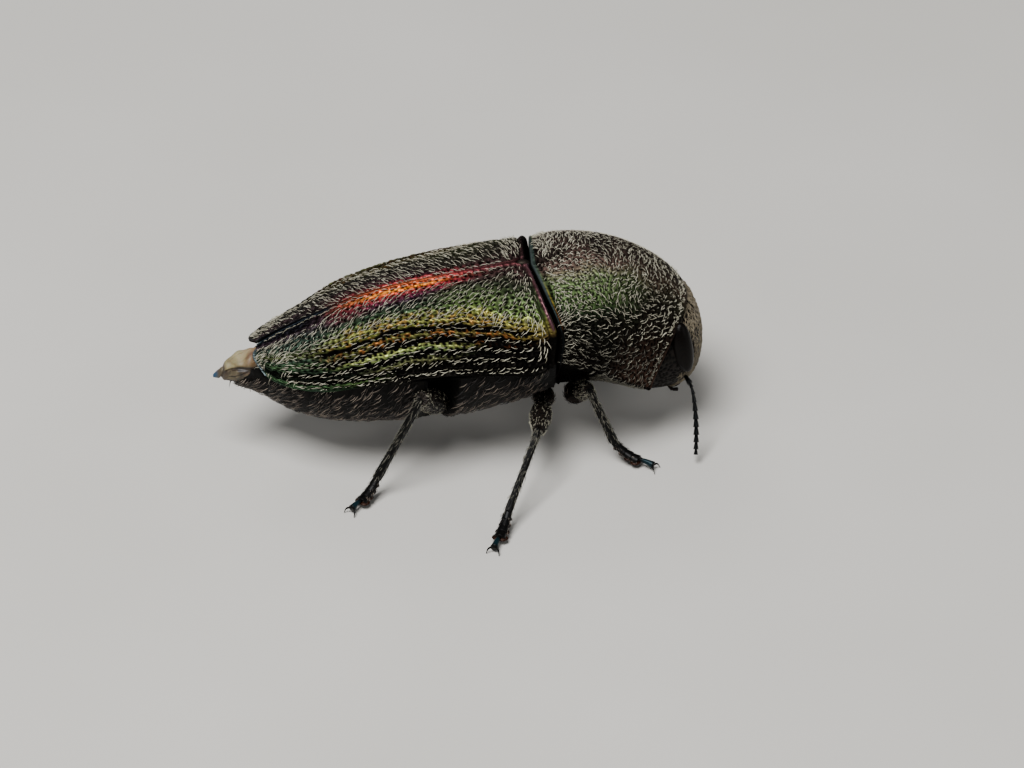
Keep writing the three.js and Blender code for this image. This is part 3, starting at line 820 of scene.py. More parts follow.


# Bronze-green cuticle of the hood: green on the upper flank behind, purple brown on top and in
# front, and black towards the lower edge, which is painted shade. Its rim at the base is steel blue
# with a golden edge.
hood_cuticle = new_material("bronze_green_cuticle", Metallic=0.7, Specular_Tint=linear("#7a6458"))
level, length, rim, dark = (
    add_node(hood_cuticle, "Attribute", gives="Fac", attribute_name=name)
    for name in ("level", "length", "rim", "dark")
)
spot = add_node(hood_cuticle, "TexCoord", gives="Object")
here = drifting(hood_cuticle, level, spot, 0.9, 0.08)
# painted shade: the flank darkens to black towards the lower edge
flank = add_node(hood_cuticle, "ValToRGB", [("Fac", here)], [
    (0.0, "#0a0908"), (0.38, "#0e120d"), (0.48, "#222f1e"), (0.6, "#465834"), (0.72, "#5c6c46"),
    (0.8, "#6a6850"), (0.88, "#66524a"), (0.96, "#3c302c"), (1.0, "#2a2320"),
])
front = add_node(hood_cuticle, "ValToRGB", [("Fac", here)], [
    (0.0, "#3a2b24"), (0.3, "#201814"), (0.5, "#141210"), (0.62, "#2c2c22"), (0.76, "#4a3e34"),
    (0.9, "#332b26"),
])
forward = add_node(hood_cuticle, "MapRange", [("Value", length)], From_Min=0.45, From_Max=0.78)
plate = add_node(
    hood_cuticle, "MixRGB", [("Fac", forward), ("Color1", flank), ("Color2", front)]
)
# painted shade: the base rim's colours also darken towards the lower edge
steel = add_node(hood_cuticle, "ValToRGB", [("Fac", level)], [
    (0.3, "#0c1012"), (0.5, "#26302f"), (0.8, "#4a5452"), (1.0, "#3a4442"),
])
gold = add_node(hood_cuticle, "ValToRGB", [("Fac", level)], [
    (0.3, "#14140c"), (0.45, "#84502a"), (0.6, "#9a8a34"), (0.8, "#6a7a58"), (1.0, "#3a4a44"),
])
at_crest = add_node(hood_cuticle, "ValToRGB", [("Fac", rim)], [(0.5, 0.0), (0.75, 1.0)])
rim_colour = add_node(
    hood_cuticle, "MixRGB", [("Fac", at_crest), ("Color1", gold), ("Color2", steel)]
)
on_rim = add_node(hood_cuticle, "ValToRGB", [("Fac", rim)], [(0.05, 0.0), (0.25, 1.0)])
plate = add_node(
    hood_cuticle, "MixRGB", [("Fac", on_rim), ("Color1", plate), ("Color2", rim_colour)]
)
blackened(hood_cuticle, plate, dark, 0.4, 0.8, 20, 0.02)

bm = new_form()
rolled(
    bm, *HOOD_GRID, hood,
    dark=hood_dark, level=hood_level, rim=hood_rim, length=lambda u, v: hood_share(v),
)
finished("prothorax_hood", bm, hood_cuticle, "cuticle_metallic", "prothorax")

# Hairs of a smoky grey. On the lower flanks and the throat they are darker than the silvery ones:
# painted shade.
smoky = setae("smoky_setae", 0.45, (0.32, "#262420"), (0.62, "#949080"))

# The hood's hairs are short and lie in whorls on top, where they cross each other, and lie
# longer, back and down on the flanks. The front margin and the base have a fringe.
x, y = cells(int(2 * HOOD_ARC / HOOD_PIT), int(HOOD_LENGTH / HOOD_PIT), *HOOD_SCATTER)
random = np.random.default_rng(31)
fringe = random.uniform(0, 0.5, FRINGE_HAIRS)
at_mouth = random.uniform(0.955, 0.985, FRINGE_HAIRS)
at_base = random.uniform(0.045, 0.13, FRINGE_HAIRS)
edge = np.where(fringe > fringe[::-1], at_mouth, at_base)
turn = np.r_[x * HOOD_PIT / HOOD_ARC / 2, fringe]
share = np.r_[y * HOOD_PIT / HOOD_LENGTH, edge]
kept = (share > 0.045) & (share < 1) & (turn < 1) & ((turn < 0.5) | (share > 0.45))
sparse = 0.3 * (np.abs(turn - 0.25) > 0.15)
sparse = np.where(turn < 0.5, sparse, 0.85 * smooth(np.abs(turn - 0.75), 0.12, 0.24))
kept &= (random.random(len(turn)) > sparse) & ((turn < 0.5) | (np.abs(turn - 0.75) < 0.2))
turn, share = turn[kept], share[kept]
root, out, around, ahead = surface_at(hood_face, turn, share)
low = smooth(np.abs(turn - 0.25), 0.09, 0.16)
swirl = 1.5 * np.sin(11 * turn + 4.1 + 5 * share) + 1.1 * np.sin(9 * share)
whorl = mix(swirl, 0.4 + 0.5 * np.sin(4 * share + 9 * turn), low)
whorl = whorl + random.normal(0, mix(0.6, 0.4, low))
down = np.where(turn < 0.25, -1, 1)
lie = leaning(around, -ahead, down * whorl)
root = root + out * hood_marks(turn, share)[0][:, None]
long = np.where(share > 0.95, 0.12, mix(0.22, 0.28, low))
unwrap = np.stack([turn, share], axis=-1)
# hairs away from the top of the hood take the darker smoky grey: painted shade
shaded = (turn > 0.5) | (np.abs(turn - 0.25) > 0.17 + random.normal(0, 0.02, len(turn)))
for name, material, chosen, radius in (
    ("prothorax_hairs", silver, ~shaded, 0.0078), ("flank_hairs", smoky, shaded, 0.007)
):
    parts = (part[chosen] for part in (root, out, lie, unwrap, long))
    hairs(name, material, *parts, radius, curl=0.25, seed=32)

# ---- Head ----------------------------------------------------------------------------------
# A broad capsule of dark bronze cuticle that fills the mouth of the hood, with its face
# upright. The face has a groove down its middle, a pit for each antenna and a notched lower
# edge.

HEAD_GRID = (260, 170)
HEAD_CENTRE = (6.48, 0, 2.75)
HEAD_HALVES = (1.51, 2.15, 2.1)
CHIN = 0.8  # height of the lower half of the head against the upper half
HEAD_PIT = 0.13
HEAD_ROUND = 10  # the way round the head
HEAD_UP = 5  # and from its foot to its crown
HEAD_PIT_DEPTH = 0.035
SOCKET_DEPTH = 0.16  # of the pit that each antenna stands in
FACE_HAIRS = 5200  # before those on the eyes, the antenna pits and the neck are taken off
FEELER_ROOT = (7.2, 1.42, 2.2)
EYE_CENTRE = (7.08, 1.84, 3.55)
EYE_HALVES = (0.36, 0.3, 0.85)
face_taper = curve((-2.1, 0.6), (-0.7, 0.84), (0.4, 1))


def head_face(u, v):
    x, y, z = ball((0, 0, 0), np.array(HEAD_HALVES) - COAT, 2.5)(u, v).T
    return spots(x + 0.08 * z, y * face_taper(z), np.where(z < 0, z * CHIN, z)) + HEAD_CENTRE


def raised(place, relief):
    """The same surface with relief(u, v), in mm, added on its outward side."""

    def at(u, v):
        _, out, _, _ = surface_at(place, np.clip(u, 0.001, 0.999), np.clip(v, 0.004, 0.996))
        return place(u, v) + out * relief(u, v)[:, None]

    return at


def from_feeler_and_eye(face):
    """How far the face is from the antenna's root in mm, and from the eye in half sizes of it."""
    return (
        np.linalg.norm(np.abs(face) - FEELER_ROOT, axis=-1),
        np.linalg.norm((np.abs(face) - EYE_CENTRE) / EYE_HALVES, axis=-1),
    )


def head_marks(u, v):
    """Relief of the head in mm, and how black it is, with painted shade behind the face next to the
    hood.
    """
    face = head_face(u, v)
    x, y, z = face.T
    from_feeler, from_eye = from_feeler_and_eye(face)
    pit = pits(u * HEAD_ROUND / HEAD_PIT, v * HEAD_UP / HEAD_PIT, 0.9, 9)
    front = smooth(x, 7, 7.5)
    groove = front * bump(y, 0, 0.22) * smooth(z, 1.7, 2.2)
    bulge = front * bump(np.abs(y), 0.6, 0.6) * bump(z, 2.9, 1.1)
    socket = bump(from_feeler, 0, 0.32)
    rim = bump(from_eye, 1.12, 0.22)
    notch = front * bump(z, 1.62, 0.1)
    # The head behind the face, next to the hood's margin, is painted black: painted shade.
    behind = smooth(7.1 - x, 0, 0.25)
    relief = 0.05 * bulge - 0.08 * groove - SOCKET_DEPTH * socket + 0.03 * rim - 0.04 * notch
    black = 0.7 * pit + 0.6 * socket + 0.5 * notch + 0.45 * behind
    return relief - HEAD_PIT_DEPTH * pit, np.clip(black, 0, 1)


# Dark bronze cuticle of the head and the underside, dull between its punctures.
bronze = new_material("dark_bronze_cuticle", Metallic=0.5, Specular_IOR_Level=0.25)
spot = add_node(bronze, "TexCoord", gives="Object")
dark = add_node(bronze, "Attribute", gives="Fac", attribute_name="dark")
cloud = add_node(bronze, "TexNoise", [("Vector", spot)], Scale=0.7 * PER_MM, Detail=3)
tone = add_node(bronze, "ValToRGB", [("Fac", cloud)], [
    (0.3, "#120f0d"), (0.55, "#211a15"), (0.75, "#1c1e16")
])
blackened(bronze, tone, dark, 0.45, 0.8, 18, 0.02)

bm = new_form()
rolled(
    bm, *HEAD_GRID, raised(head_face, lambda u, v: head_marks(u, v)[0]),
    dark=lambda u, v: head_marks(u, v)[1],
)
finished("head_capsule", bm, bronze, "cuticle_dark", "head")

# The face has short dense brown-grey hair that lies down towards the mouth.
grey = setae("brown_grey_setae", 0.5, (0.3, "#4c4236"), (0.65, "#9a8e74"))

random = np.random.default_rng(41)
turn = random.uniform(-0.27, 0.27, FACE_HAIRS) % 1
tier = random.uniform(0.12, 0.86, FACE_HAIRS)
root = head_face(turn, tier)
from_feeler, from_eye = from_feeler_and_eye(root)
clear = (from_feeler > 0.24) & (from_eye > 1.15) & ((root[:, 0] > 7) | (root[:, 2] > 4.2))
turn, tier = turn[clear], tier[clear]
root, out, around, upward = surface_at(head_face, turn, tier)
slant = np.sin(root[:, 1] * 1.5) * 0.5 + random.normal(0, 0.25, len(turn))
lie = leaning(around, -upward, slant)
unwrap = np.stack([turn, tier], axis=-1)
hairs("head_hairs", grey, root, out, lie, unwrap, 0.24, 0.0085, 0.07, 0.2, 42)

# ---- Eyes ----------------------------------------------------------------------------------
# Long compound eyes of clear chitin, each of many tiny lenses under one clear layer. They are
# set into the sides of the face.

LENS_WIDTH = 0.035

# Clear chitin over dark pigment: smooth and nearly black, with a net of lens edges.
cornea = new_material("clear_chitin_cornea", IOR=1.56, Roughness=0.28, Specular_IOR_Level=0.07)
spot = add_node(cornea, "TexCoord", gives="Object")
lenses = add_node(
    cornea, "TexVoronoi", [("Vector", spot)], Scale=PER_MM / LENS_WIDTH, Randomness=0.2
)
pigment = add_node(cornea, "ValToRGB", [("Fac", lenses)], [(0.2, "#100c09"), (0.6, "#050404")])
domes = add_node(
    cornea, "Bump", [("Height", lenses)], Strength=0.5, Distance=0.01 * MM, invert=True
)
feed(cornea, Base_Color=pigment, Normal=domes)

for side, label in ((-1, "right"), (1, "left")):

    def eye_face(u, v):
        x, y, z = ball((0, 0, 0), EYE_HALVES)(u, v).T
        bean = -0.06 * (1 - (z / EYE_HALVES[2]) ** 2)
        centre = np.array(EYE_CENTRE) * (1, side, 1)
        return spots(x - 0.12 * z + bean, y - 0.18 * side * z, z) + centre

    bm = new_form()
    rolled(bm, 48, 64, eye_face)
    finished(f"compound_eye_{label}", bm, cornea, "eye", f"eye_{label}")

# ---- Antennae ------------------------------------------------------------------------------
# Eleven joints of black chitin each, on a pit in the face. The first is long and thick, and
# from the fourth on each one widens on its front edge into a tooth.

FEELER_ROUTE = [
    FEELER_ROOT, (7.34, 2.02, 2.05), (7.36, 2.5, 1.55), (7.32, 2.95, 0.95), (7.22, 3.4, 0.36)
]
FEELER_SHARES = [0, 0.15, 0.21, 0.3, 0.395, 0.49, 0.585, 0.675, 0.765, 0.85, 0.93, 1]
FEELER_GIRTH = 0.1
JOINT_GIRTHS = (1.1, 0.75, 0.8, 1, 1.15, 1.25, 1.3, 1.3, 1.25, 1.15, 0.95)  # against that one
JOINT_OVERLAP = 0.008  # share of the antenna that each joint reaches into the next
LIMB_CAP = 0.06  # share of a limb's rows that each of its ends takes
UP = np.array((0, 0, 1))


def capped(v, cap):
    """The share of the length between two flat caps, and how far each cap has opened."""
    opened = np.clip(np.minimum(v, 1 - v) / cap, 0, 1)
    return np.clip((v - cap) / (1 - 2 * cap), 0, 1), opened


def limb(start, end, girth, wide=1.0, bow=0.0, tooth=0.0):
    """place(turn, share) of a limb. girth(share) is its half thickness, bow lifts its middle and
    tooth widens its far end on one edge."""
    start, end = np.array(start, float), np.array(end, float)
    length = np.linalg.norm(end - start)
    axis = (end - start) / length
    across = unit(np.cross(UP, axis))
    rise = np.cross(axis, across)

    def place(u, v):
        share, opened = capped(v, LIMB_CAP)
        turn, share, opened = (part[..., None] for part in (u * 2 * np.pi, share, opened**0.5))
        size = girth(share) * opened
        lift = bow * np.sin(np.pi * share) + tooth * share * opened * np.maximum(np.sin(turn), 0)
        ring = across * size * wide * np.cos(turn) + rise * (size * np.sin(turn) + lift)
        return start + axis * share * length + ring

    return place


def bezier(points, share):
    """A point of the smooth curve that leans towards its middle points."""
    points = np.array(points, float)
    while len(points) > 1:
        points = points[:-1] + (points[1:] - points[:-1]) * share
    return points[0]


# Black chitin, with a steel-blue tint on the claw joints and rusty pads under the feet.
black = new_material("black_chitin", Metallic=0.3, Specular_IOR_Level=0.15)
spot = add_node(black, "TexCoord", gives="Object")
dark, pad, blue = (
    add_node(black, "Attribute", gives="Fac", attribute_name=name)
    for name in ("dark", "pad", "blue")
)
cloud = add_node(black, "TexNoise", [("Vector", spot)], Scale=1.2 * PER_MM, Detail=3)
tone = add_node(black, "ValToRGB", [("Fac", cloud)], [(0.3, "#070708"), (0.7, "#100f0e")])
steel = add_node(black, "MixRGB", [("Fac", blue), ("Color1", tone)], Color2=linear("#10282f"))
rusty = add_node(black, "MixRGB", [("Fac", pad), ("Color1", steel)], Color2=linear("#3c1f10"))
blackened(black, rusty, dark, 0.34, 0.7, 16, 0.015)

for side, label in ((-1, "right"), (1, "left")):
    bm = new_form()
    route = np.array(FEELER_ROUTE) * (1, side, 1)
    spans = np.r_[0, np.cumsum(np.linalg.norm(np.diff(route, axis=0), axis=1))]
    ease = [curve(*zip(spans / spans[-1], route[:, i])) for i in range(3)]
    for joint, (low, high) in enumerate(zip(FEELER_SHARES, FEELER_SHARES[1:])):
        start = [float(e(np.array(low))) for e in ease]
        end = [float(e(np.array(min(high + JOINT_OVERLAP, 1)))) for e in ease]
        thick = FEELER_GIRTH * JOINT_GIRTHS[joint]
        tooth = thick * (0.2 if joint < 3 else 0.7)
        club = limb(start, end, lambda v: thick * (0.5 + 0.5 * v), 0.8, tooth=tooth)
        rolled(bm, 14, 14, club, blue=0.05)
    finished(f"feeler_{label}", bm, black, "cuticle_black", f"antenna_{label}")

# ---- Mouthparts ----------------------------------------------------------------------------
# A short upper lip, two stout jaws that cross under it, and a pair of feelers below, all of
# hard black chitin and hinged to the lower edge of the face.

HORN_CAP = 0.05
LIP_CENTRE = (7.2, 0, 1.38)
LIP_HALVES = (0.24, 0.42, 0.13)


def horn(path, girth, broad, deep):
    """place(turn, share) of a curved, tapered piece. girth(share) is its half thickness, and
    broad and deep are the axes of its section."""

    def place(u, v):
        share, opened = capped(v, HORN_CAP)
        line = np.array([bezier(path, t) for t in share])
        turn = (u * 2 * np.pi)[:, None]
        ring = np.cos(turn) * np.array(broad) + np.sin(turn) * np.array(deep)
        return line + (opened**0.5 * girth(share))[:, None] * ring

    return place


bm = new_form()
rolled(bm, 32, 20, ball(LIP_CENTRE, LIP_HALVES, 2.6))
for side in (-1, 1):
    jaw = ((6.92, side * 0.44, 1.24), (7.24, side * 0.44, 1.08), (7.36, side * 0.02, 1.0))
    mandible = horn(jaw, lambda share: 0.18 - 0.13 * share**1.5, (0.6, 0, 0.8), (0.75, 0, -0.55))
    rolled(bm, 20, 24, mandible, pad=0.15)
    elbow = (7.02, side * 0.54, 1.0)
    for start, end in (((6.9, side * 0.48, 1.12), elbow), (elbow, (7.2, side * 0.5, 0.96))):
        rolled(bm, 10, 10, limb(start, end, lambda v: 0.05 + 0.02 * v), pad=0.1)
finished("jaws_and_lip", bm, black, "cuticle_black", "mouthparts")

# ---- Thorax and abdomen --------------------------------------------------------------------
# The plates of the underside, of the head's dark cuticle. They fit up into the wing cases, and
# below they form a deep belly, whose plates overlap towards the tail. A hollow at the waist
# takes the hind legs.

WAIST_X = -0.95
HIP_HOLLOW = 0.56
FIRST_STERNITE = -1.5  # where the first of the belly's overlapping plates begins
STERNITE = 1.2
STERNITE_STEP = 0.07
BELLY_PIT = 0.15
BELLY_ROUND = 18  # the way round the trunk
BELLY_HAIRS = 4600  # before those at the waist and on the plates' edges are taken off
TRUNK_COLUMNS = 200
BELLY_PIT_DEPTH = 0.03
TRUNK_END = -7.4
CAP = 0.05  # share of the rows that each flat end takes
WAIST_GAP = 0.02
WAIST_OVERLAP = 0.1  # the middle of each end reaches this far into its neighbour

belly_width = curve(
    (-7.4, 0.2), (-7.1, 0.55), (-6.7, 0.82), (-6.3, 1.12), (-5.7, 1.72), (-4.8, 2.32),
    (-3.5, 2.86), (-1, 3.14), (1, 3.1), (2.8, 2.85),
)
belly_depth = curve(
    (-7.4, 1.38), (-7.1, 1.56), (-6.7, 1.74), (-6, 2.2), (-5, 2.6), (-3.8, 2.82),
    (-1.6, 2.92), (0.4, 2.95), (2, 2.92), (2.8, 2.88),
)
belly_power = curve((-7.4, 2), (-0.4, 2), (1.2, 1.65), (2.4, 1.35))
tail_drop = curve((-7.4, -1.06), (-6.8, -0.9), (-6.2, -0.68), (-5.5, -0.4), (-5, 0))
tail_top = curve((-7.4, -0.96), (-6.8, -0.56), (-6.3, -0.34), (-5.6, 0.02), (-5, 0.6), (-4.4, 2))


def rim_under(x):
    """Height of the edge that lies just under the rim of a wing case."""
    return np.minimum(case_rim(x), tail_drop(x)) - SEAM


def belly(under, x):
    """A point below the rims: under runs from 0.5, at the right side, to 1, at the left."""
    plates = (FIRST_STERNITE - x) / STERNITE
    step = np.where(plates > 0, STERNITE_STEP * (plates - np.ceil(plates)), 0)
    y, drop = section(under, belly_width(x) + step - COAT, 1, belly_power(x))
    return spots(x, y, mix(rim_under(x), step + COAT - belly_depth(x), np.maximum(-drop, 0)) + RIM)


def back(turn, x):
    """A point above the rims, under the wing cases."""
    inside = case_shell(x) + SEAM
    top = np.minimum(case_top(x) - inside, tail_top(x))
    wide = np.minimum(case_width(x) - inside, belly_width(x) - COAT)
    y, rise = section(turn, wide, 1, case_power(x))
    return spots(x, y, mix(rim_under(x), top, np.maximum(rise, 0)) + RIM)


def hollow(turn):
    """How far each edge at the waist draws back for the hind legs."""
    return np.where(turn > 0.5, smooth(np.abs(turn - 0.75), 0.05, 0.13), 0) * HIP_HOLLOW


def trunk(back_end, front_end):
    """place(u, v) and dark(u, v) of a closed length of the trunk, between two edges that are
    functions of turn. It is dark in the punctures and where one plate slips under the next, and
    it carries painted shade: dark all over the belly, darker at the front, black under the wing
    cases."""

    def spot_of(u, v):
        """The lower half, which shows, has most of the columns."""
        turn = np.clip(np.where(u < 0.25, u * 2, 0.5 + (u - 0.25) / 1.5), 0, 1)
        share, opened = capped(v, CAP)
        x = mix(back_end(turn), front_end(turn), share)
        pit = pits(turn * BELLY_ROUND / BELLY_PIT, x / BELLY_PIT, 0.9, 13)
        return turn, share, opened, x, pit

    def place(u, v):
        turn, share, opened, x, pit = spot_of(u, v)
        ring = np.where((turn < 0.5)[:, None], back(turn, x), belly(np.maximum(turn, 0.5), x))
        ring = ring + UP * (BELLY_PIT_DEPTH * pit * opened)[:, None]
        ends = back_end(np.array(0.75)) - WAIST_OVERLAP, front_end(np.array(0.75)) + WAIST_OVERLAP
        middle = mix(*ends, np.round(share))
        return mix(spots(middle, 0, rim_under(middle) + RIM - 0.6), ring, opened[:, None])

    def dark(u, v):
        turn, _, _, x, pit = spot_of(u, v)
        plate = (FIRST_STERNITE - x) / STERNITE
        line = bump(plate - np.round(plate), 0, 0.07) * (plate > -0.1)
        # painted shade: black under the wing cases, three quarters dark over the belly and darker
        # to the front
        shaded = smooth(x, 1.1, 1.7) + line
        return np.where((turn < 0.5) & (x > -6), 1, np.clip(0.75 + 0.25 * pit + shaded, 0, 1))

    return place, dark


for node, rows, *ends in (  # the ends are the rear edge and the front edge
    (
        "abdomen", 200, lambda turn: TRUNK_END + 0 * turn,
        lambda turn: WAIST_X + WAIST_GAP - hollow(turn),
    ),
    (
        "thorax", 130, lambda turn: WAIST_X + hollow(turn),
        lambda turn: BASE_X + np.where(turn > 0.5, BASE_GROOVE - SEAM + base_lead(turn), 0),
    ),
):
    bm = new_form()
    place, dark = trunk(*ends)
    rolled(bm, TRUNK_COLUMNS, rows, place, dark=dark)
    finished(f"{node}_plates", bm, bronze, "cuticle_dark", node)

# Fine brown hair streams back and down over the belly. It is thin along the edges of the
# plates and in front.
umber = setae("umber_setae", 0.45, (0.42, "#0a0807"), (0.52, "#2c201a"), (0.62, "#9a8c7e"))

random = np.random.default_rng(51)
x = random.uniform(-7.2, 2.9, BELLY_HAIRS)
under = random.uniform(0.5, 1, BELLY_HAIRS)
free = (x < WAIST_X - hollow(under) - 0.08) | (x > WAIST_X + hollow(under) + 0.08)
free &= x < BASE_X + base_lead(under) - 0.08
plate_edge = (x - FIRST_STERNITE) / STERNITE
plate_edge = bump(plate_edge - np.round(plate_edge), 0, 0.22) * (x < -1)
free &= random.random(BELLY_HAIRS) > 0.75 * plate_edge + 0.45 * smooth(x, -0.9, 0.4)
x, under = x[free], under[free]
root, out, around, ahead = surface_at(belly, under, x)
slant = np.where(under < 0.75, 0.8, -0.8) + 0.2 * np.sin(5 * x)
lie = leaning(around, -ahead, slant + random.normal(0, 0.13, len(x)))
unwrap = np.stack([under, (x + 8) / 11], axis=-1)
hairs("belly_hairs", umber, root, out, lie, unwrap, 0.46, 0.0105, 0.07, 0.14, 52)

# ---- Tail ----------------------------------------------------------------------------------
# The soft last segment, which slides out of the abdomen: pale skin in deep folds, which stands
# out behind the wing cases and ends in a short tube.

TAIL_GRID = (140, 120)
TAIL_CAP = 0.03
TAIL_END = -8
TAIL_ROOT = -6.4
tail_height = curve((-8, -1.16), (-7.5, -0.98), (-7, -0.9), (-6.4, -0.86))
tail_girth = curve(
    (-8, 0.05), (-7.86, 0.13), (-7.74, 0.19), (-7.66, 0.28), (-7.4, 0.42), (-7.05, 0.55),
    (-6.4, 0.64),
)


def from_top(u):
    """How far round the tail a place is from the top, up to a half on either side."""
    return np.abs((u + 0.25) % 1 - 0.5)


def tail_crease(u, v):
    """Long folds that fan out from the tube, deep ones at the sides, and one round its root."""
    fan = u * 6 + 0.4 * np.sin(6 * np.pi * u + 4 * v) + 0.8 * v
    long = 0.6 * bump(fan - np.round(fan), 0, 0.06 + 0.1 * v) * smooth(v, 0.2, 0.45)
    side = np.abs(from_top(u) - 0.19 + 0.03 * np.sin(5 * v))
    side = bump(side, 0, 0.025 + 0.02 * v) * smooth(v, 0.15, 0.3)
    return np.maximum.reduce([long, side, bump(v, 0.2 + 0.03 * np.sin(2 * np.pi * u), 0.04)])


def tail_fold(u, v):
    """How brown the skin is: in the creases, and all over the lower half."""
    below = smooth(from_top(u), 0.12, 0.2)
    patchy = 0.8 + 0.2 * np.sin(26 * u + 9 * v) * np.sin(17 * v - 8 * u)
    return np.clip(tail_crease(u, v) + below * patchy * smooth(v, 0.16, 0.24), 0, 1)


def tail_face(u, v):
    """A point of the segment, from the tip of the tube to the root, round a drooping middle."""
    share, opened = capped(v, TAIL_CAP)
    x = mix(TAIL_END, TAIL_ROOT, share)
    swell = 0.05 * np.sin(2 * np.pi * (3 * u + 1.6 * share))
    swell = swell + 0.03 * np.sin(2 * np.pi * (4 * share + u))
    depth = 0.07 * tail_crease(u, v) * smooth(share, 0, 0.2)
    girth = opened * (tail_girth(x) * (0.94 + swell) - depth)
    y, z = section(u, girth, girth, 2)
    return spots(x, y, z + tail_height(x) + RIM)


# Soft unhardened cuticle: cream with brown in the folds, and a steel-blue tip.
skin = new_material(
    "soft_cuticle", Roughness=0.5, Subsurface_Weight=0.15, Subsurface_Scale=0.1 * MM
)
form = add_node(skin, "UVMap", uv_map="form")
length = add_node(skin, "SeparateXYZ", [("Vector", form)], gives="Y")
spot = add_node(skin, "TexCoord", gives="Object")
fold = add_node(skin, "Attribute", gives="Fac", attribute_name="fold")
cloud = add_node(
    skin, "TexNoise", [("Vector", spot)], Scale=1.6 * PER_MM, Detail=4, Distortion=0.8
)
cream = add_node(skin, "ValToRGB", [("Fac", cloud)], [
    (0.3, "#483a28"), (0.42, "#766a48"), (0.62, "#998f6a")
])
root = add_node(skin, "ValToRGB", [("Fac", length)], [(0.5, 0.0), (0.95, 0.6)])
warm = add_node(skin, "MixRGB", [("Fac", root), ("Color1", cream)], Color2=linear("#8a5a40"))
brown = add_node(skin, "ValToRGB", [("Fac", cloud)], [
    (0.4, "#17120f"), (0.52, "#33271c"), (0.66, "#6a5e48")
])
creased = add_node(skin, "MixRGB", [("Fac", fold), ("Color1", warm), ("Color2", brown)])
tube = add_node(skin, "ValToRGB", [("Fac", length)], [(0.17, 0.9), (0.3, 0.0)])
browned = add_node(skin, "MixRGB", [("Fac", tube), ("Color1", creased)], Color2=linear("#40342a"))
tip = add_node(skin, "ValToRGB", [("Fac", length)], [(0.06, 1.0), (0.14, 0.0)])
tipped = add_node(skin, "MixRGB", [("Fac", tip), ("Color1", browned)], Color2=linear("#1c4664"))
wrinkle = add_node(skin, "Bump", [("Height", cloud)], Strength=0.5, Distance=0.05 * MM)
feed(skin, Base_Color=tipped, Normal=wrinkle)

bm = new_form()
rolled(bm, *TAIL_GRID, tail_face, fold=tail_fold)
finished("tail_segment", bm, skin, "soft_cuticle", "pygidium")

# ---- Legs ----------------------------------------------------------------------------------
# Each has a ball-shaped coxa under the thorax, a stout hairy femur, a slender grooved tibia
# with two spurs, and a foot of four lobed pads and a steel-blue joint with two claws.

LEGS = [  # name; hip, knee, ankle and toe, y from the midline; thigh; step of the left foot
    (
        "front", (3.7, 0.85, 1.5), (3.85, 2.45, 2.72), (4.65, 2.72, 0.72), (5.86, 3.56, 0.2),
        0.36, 0.25,
    ),
    (
        "middle", (2.65, 0.95, 1.55), (2, 3.72, 2.25), (0.62, 5.83, 0.66), (-0.06, 7.05, 0.2),
        0.42, 0,
    ),
    (
        "hind", (-0.5, 0.9, 1.56), (-1.7, 3.17, 3.5), (-3.23, 3.4, 0.71), (-4.2, 4.2, 0.2),
        0.45, 0.3,
    ),
]
COXA = 0.43  # from the middle of the hip to the root of the thigh
COXA_HALVES = (0.36, 0.44, 0.35)
SHIN = 0.132  # half thickness
PADS = 4
PADS_END = 0.66  # share of the foot that the pads take
FLOOR_GAP = 0.17  # least height of the line that the foot follows
LOBE_HEIGHT = 0.06  # half thickness of a pad's lobe, and its least height
CLAW_TIP = 0.02  # height of the claws' tips
LOBES = (0.12, 0.135, 0.16, 0.18)  # half widths of the lobes of each pad
COXA_HAIRS = 160
THIGH_HAIRS = 260
SHIN_HAIRS = 230
PAD_HAIRS = 120
SHIN_GROOVES = 6
thigh_girth = curve((0, 0.5), (0.2, 0.78), (0.5, 1), (0.85, 0.8), (1, 0.62))
shin_girth = curve((0, 0.85), (0.08, 1.1), (0.2, 0.92), (0.75, 0.98), (0.93, 1.12), (1, 1.05))


